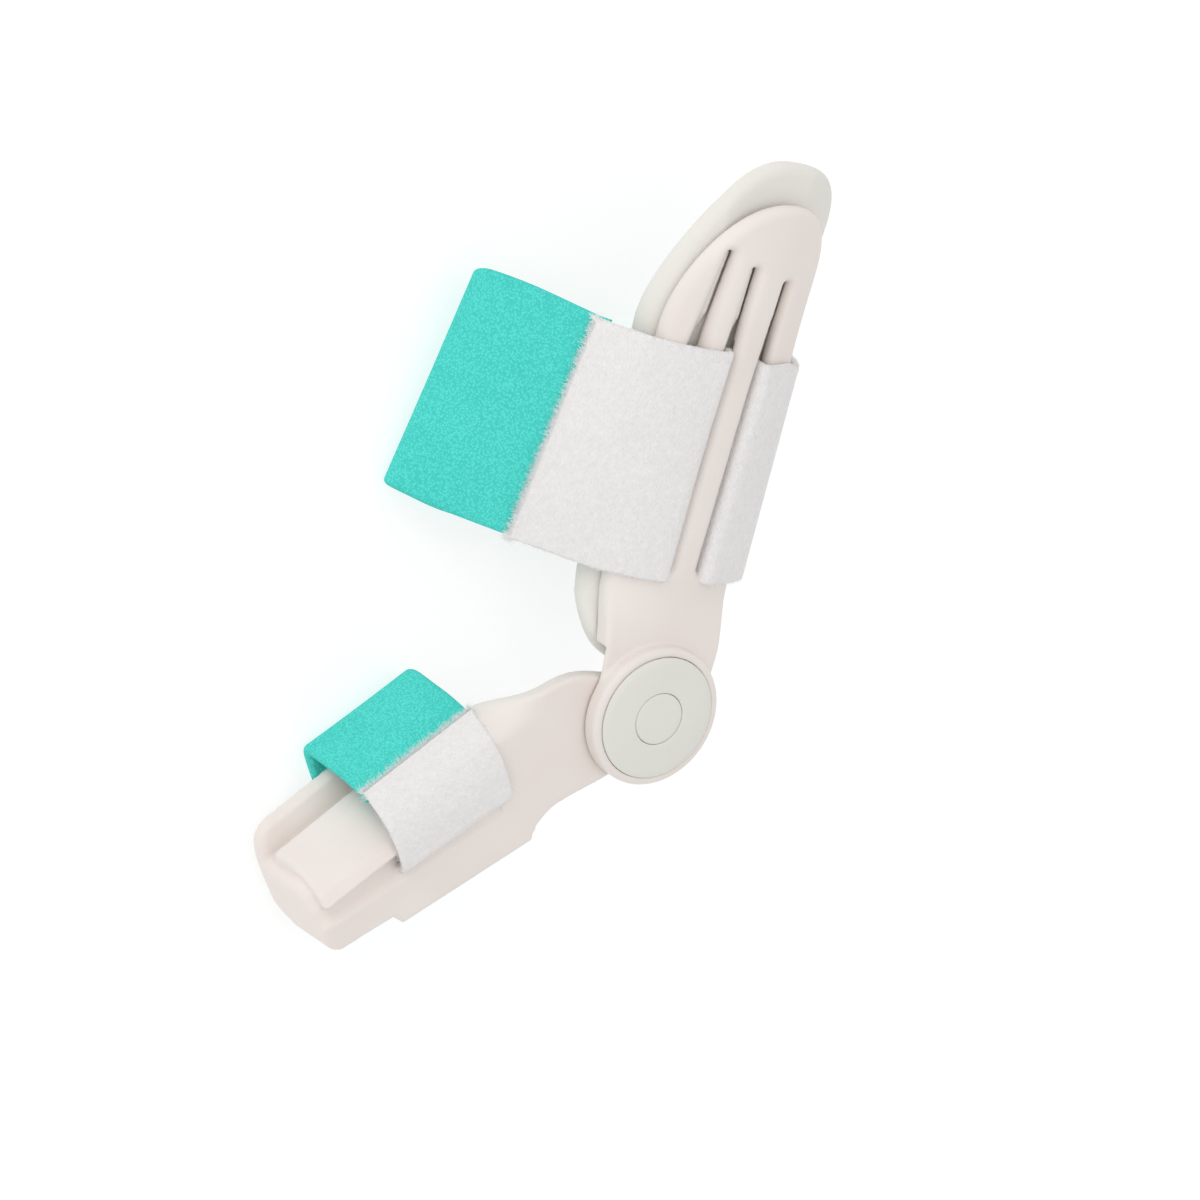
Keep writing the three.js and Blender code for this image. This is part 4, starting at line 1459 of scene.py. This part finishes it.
    def foam_path(self, t: float) -> Array:
        """Corners of the toe foam's line, from the lap round the back and up to the slot's inner end.

        Args:
            t: the section's place along the toe part.
        Returns:
            Across, depth and nought, one corner per row.
        """
        cos, sin = math.cos(TOE_TURN), math.sin(TOE_TURN)
        rest = [[p, self.straps.rest_depth(t * cos + p * sin), 0] for p in (self.back_half, -self.back_half)]
        upper, bottom = self.strap_upper(t), self.strap_bottom
        rows = self.straps.lap_corners(self.tape_path(t)[-2], self.tape_stop(t), self.straps.lap * 0.7)
        rows += [[upper - 0.2, self.shoulder, 0], [upper + 0.7, self.crease, 0], *rest]
        rows += [[bottom - 0.5, self.return_depth, 0], [bottom - 1.0, self.inner_depth, 0],
                 [self.slot_line(t) - 3.6, self.face + self.tape_tail * 0.9, 0]]
        return np.array(rows, float)

    def place(self, points: Array, shares: Array) -> Array:
        """Section points (across, depth) to places in the toe frame."""
        return np.stack([self.strap_start + self.strap_width * shares, -points[:, 0], -points[:, 1]], axis=1)

    def build(self, plastic: bpy.types.Material, tape: bpy.types.Material, foam: bpy.types.Material,
              fibre: bpy.types.Material) -> None:
        """Args:
            plastic: the moulding's finish.
            tape: the tape's finish.
            foam: the foam's finish.
            fibre: the loose fibres' finish, a whiter copy of the tape's that paints them as lit.
        """
        points, faces = contour(self.plate_field, *self.box, self.step)
        dress(make_object("toe_tray", points, faces, Side.TOE), plastic, Side.TOE, "shell", "toe_plate")
        ends = (self.strap_start, self.strap_start + self.strap_width)
        low, high = (rounded_path(self.tape_path(t), 2.4, 6) for t in ends)
        strip = Strip(low, high, self.straps.tape, 0.0, self.place, 0.6, 40, 0.5)
        band = strip.surface("toe_tape", Side.TOE)
        dress(band, tape, Side.TOE, "loop_tape", "toe_strap_tape")
        pile = strip.fringe("toe_tape_fringe", Side.TOE, 3600)
        dress(pile, fibre, Side.TOE, "loop_tape")
        low, high = (rounded_path(self.foam_path(t), 6.0, 10) for t in ends)
        strip = Strip(low, high, self.straps.foam, self.straps.foam / 2, self.place, 1.2, 36)
        loop = strip.surface("toe_foam", Side.TOE)
        dress(loop, foam, Side.TOE, "strap_foam", "toe_strap_foam")


@dataclass
class Studio:
    """Floor, light and camera. Each lamp is its distance and size in metres and its power in watts."""

    right: tuple = (0.1470, -0.806, 0.5738)
    back: tuple = (0.1168, 0.590, 0.7987)
    aim_right: float = -11.7
    aim_up: float = 24.2
    distance: float = 4000.0
    lens: float = 584.4
    floor_half: float = 6.0
    key: tuple = (1.3, 0.7, 2.6)
    key_tint: tuple = (1.0, 0.99, 0.98)
    top: tuple = (1.4, 0.9, 3.0)
    surround: float = 0.74

    def axes(self) -> tuple[Vector, Vector, Vector]:
        """The camera's directions, squared up.

        Returns:
            Right, up and back.
        """
        back = Vector(self.back).normalized()
        right = Vector(self.right)
        right = (right - back * right.dot(back)).normalized()
        return right, back.cross(right), back

    def camera(self) -> None:
        """Place the camera at the photograph's angle to the splint."""
        right, up, back = self.axes()
        target = Vector(HINGE) + right * self.aim_right + up * self.aim_up
        data = bpy.data.cameras.new("view")
        data.lens, data.sensor_width = self.lens, 36.0
        data.clip_start, data.clip_end = 0.05, 50.0
        eye = bpy.data.objects.new("view", data)
        turn = Matrix((right, up, back)).transposed().to_4x4()
        eye.matrix_world = Matrix.Translation((target + back * self.distance) / MM) @ turn
        bpy.context.scene.collection.objects.link(eye)
        bpy.context.scene.camera = eye

    def floor(self) -> None:
        """Lay a plain floor under the splint."""
        half = self.floor_half
        corners = [(-half, -half, 0.0), (half, -half, 0.0), (half, half, 0.0), (-half, half, 0.0)]
        mesh = bpy.data.meshes.new("floor")
        mesh.from_pydata(corners, [], [(0, 1, 2, 3)])
        piece = bpy.data.objects.new("floor", mesh)
        piece.data.materials.append(StudioPaper().make())
        bpy.context.scene.collection.objects.link(piece)

    def lamp(
        self, name: str, towards: Vector, distance: float, size: float, power: float, tint: tuple
    ) -> None:
        """Place a square soft light that faces the splint.

        Args:
            name: the light's name.
            towards: direction from the splint to the light.
            distance: how far off it stands, in metres.
            size: its side in metres.
            power: its power in watts.
            tint: its colour.
        """
        data = bpy.data.lights.new(name, "AREA")
        data.energy, data.size, data.color = power, size, tint
        light = bpy.data.objects.new(name, data)
        light.location = towards.normalized() * distance
        light.rotation_euler = (-towards).to_track_quat("-Z", "Y").to_euler()
        bpy.context.scene.collection.objects.link(light)

    def light(self) -> None:
        """Set a soft key from the picture's upper left, a top light and a bright surround."""
        right, up, back = self.axes()
        self.lamp("key", back * 0.9 - right * 0.35 + up * 0.45, *self.key, self.key_tint)
        self.lamp("top", Vector((0.1, 0.2, 1.0)), *self.top, WHITE[:3])
        bpy.context.scene.view_settings.view_transform = "Standard"
        world = bpy.data.worlds.new("surround")
        bpy.context.scene.world = world
        world.use_nodes = True
        sky = next(n for n in world.node_tree.nodes if n.type == "BACKGROUND")
        sky.inputs["Color"].default_value = WHITE
        sky.inputs["Strength"].default_value = self.surround

    def build(self) -> None:
        """Make camera, floor and light."""
        self.camera()
        self.floor()
        self.light()


def main() -> None:
    """Build the whole picture in order."""
    logging.basicConfig(level=logging.INFO, format="%(name)s: %(message)s")
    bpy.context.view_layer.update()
    Studio().build()
    plastic = MouldedPlastic().make()
    cap = MouldedPlastic("cap_plastic", srgb(230, 229, 222), srgb(226, 226, 218), roughness=0.34).make()
    tape, foam = LoopTape().make(), FoamFabric().make()
    # Painted light: the loose fibres get a whiter copy of the tape's finish, so that they look lit.
    fibre = LoopTape("loose_fibre_painted_light", srgb(255, 255, 255), srgb(250, 249, 249)).make()
    hinge = Hinge()
    plate = FootPlate(hinge)
    hinge.build(hinge.toe_face - plate.toe_arm_thickness, cap)
    plate.build(plastic, SoftRubber().make())
    straps = Straps(plate)
    straps.build(tape, foam, fibre)
    ToePart(straps).build(plastic, tape, foam, fibre)


if __name__ == "__main__":
    main()
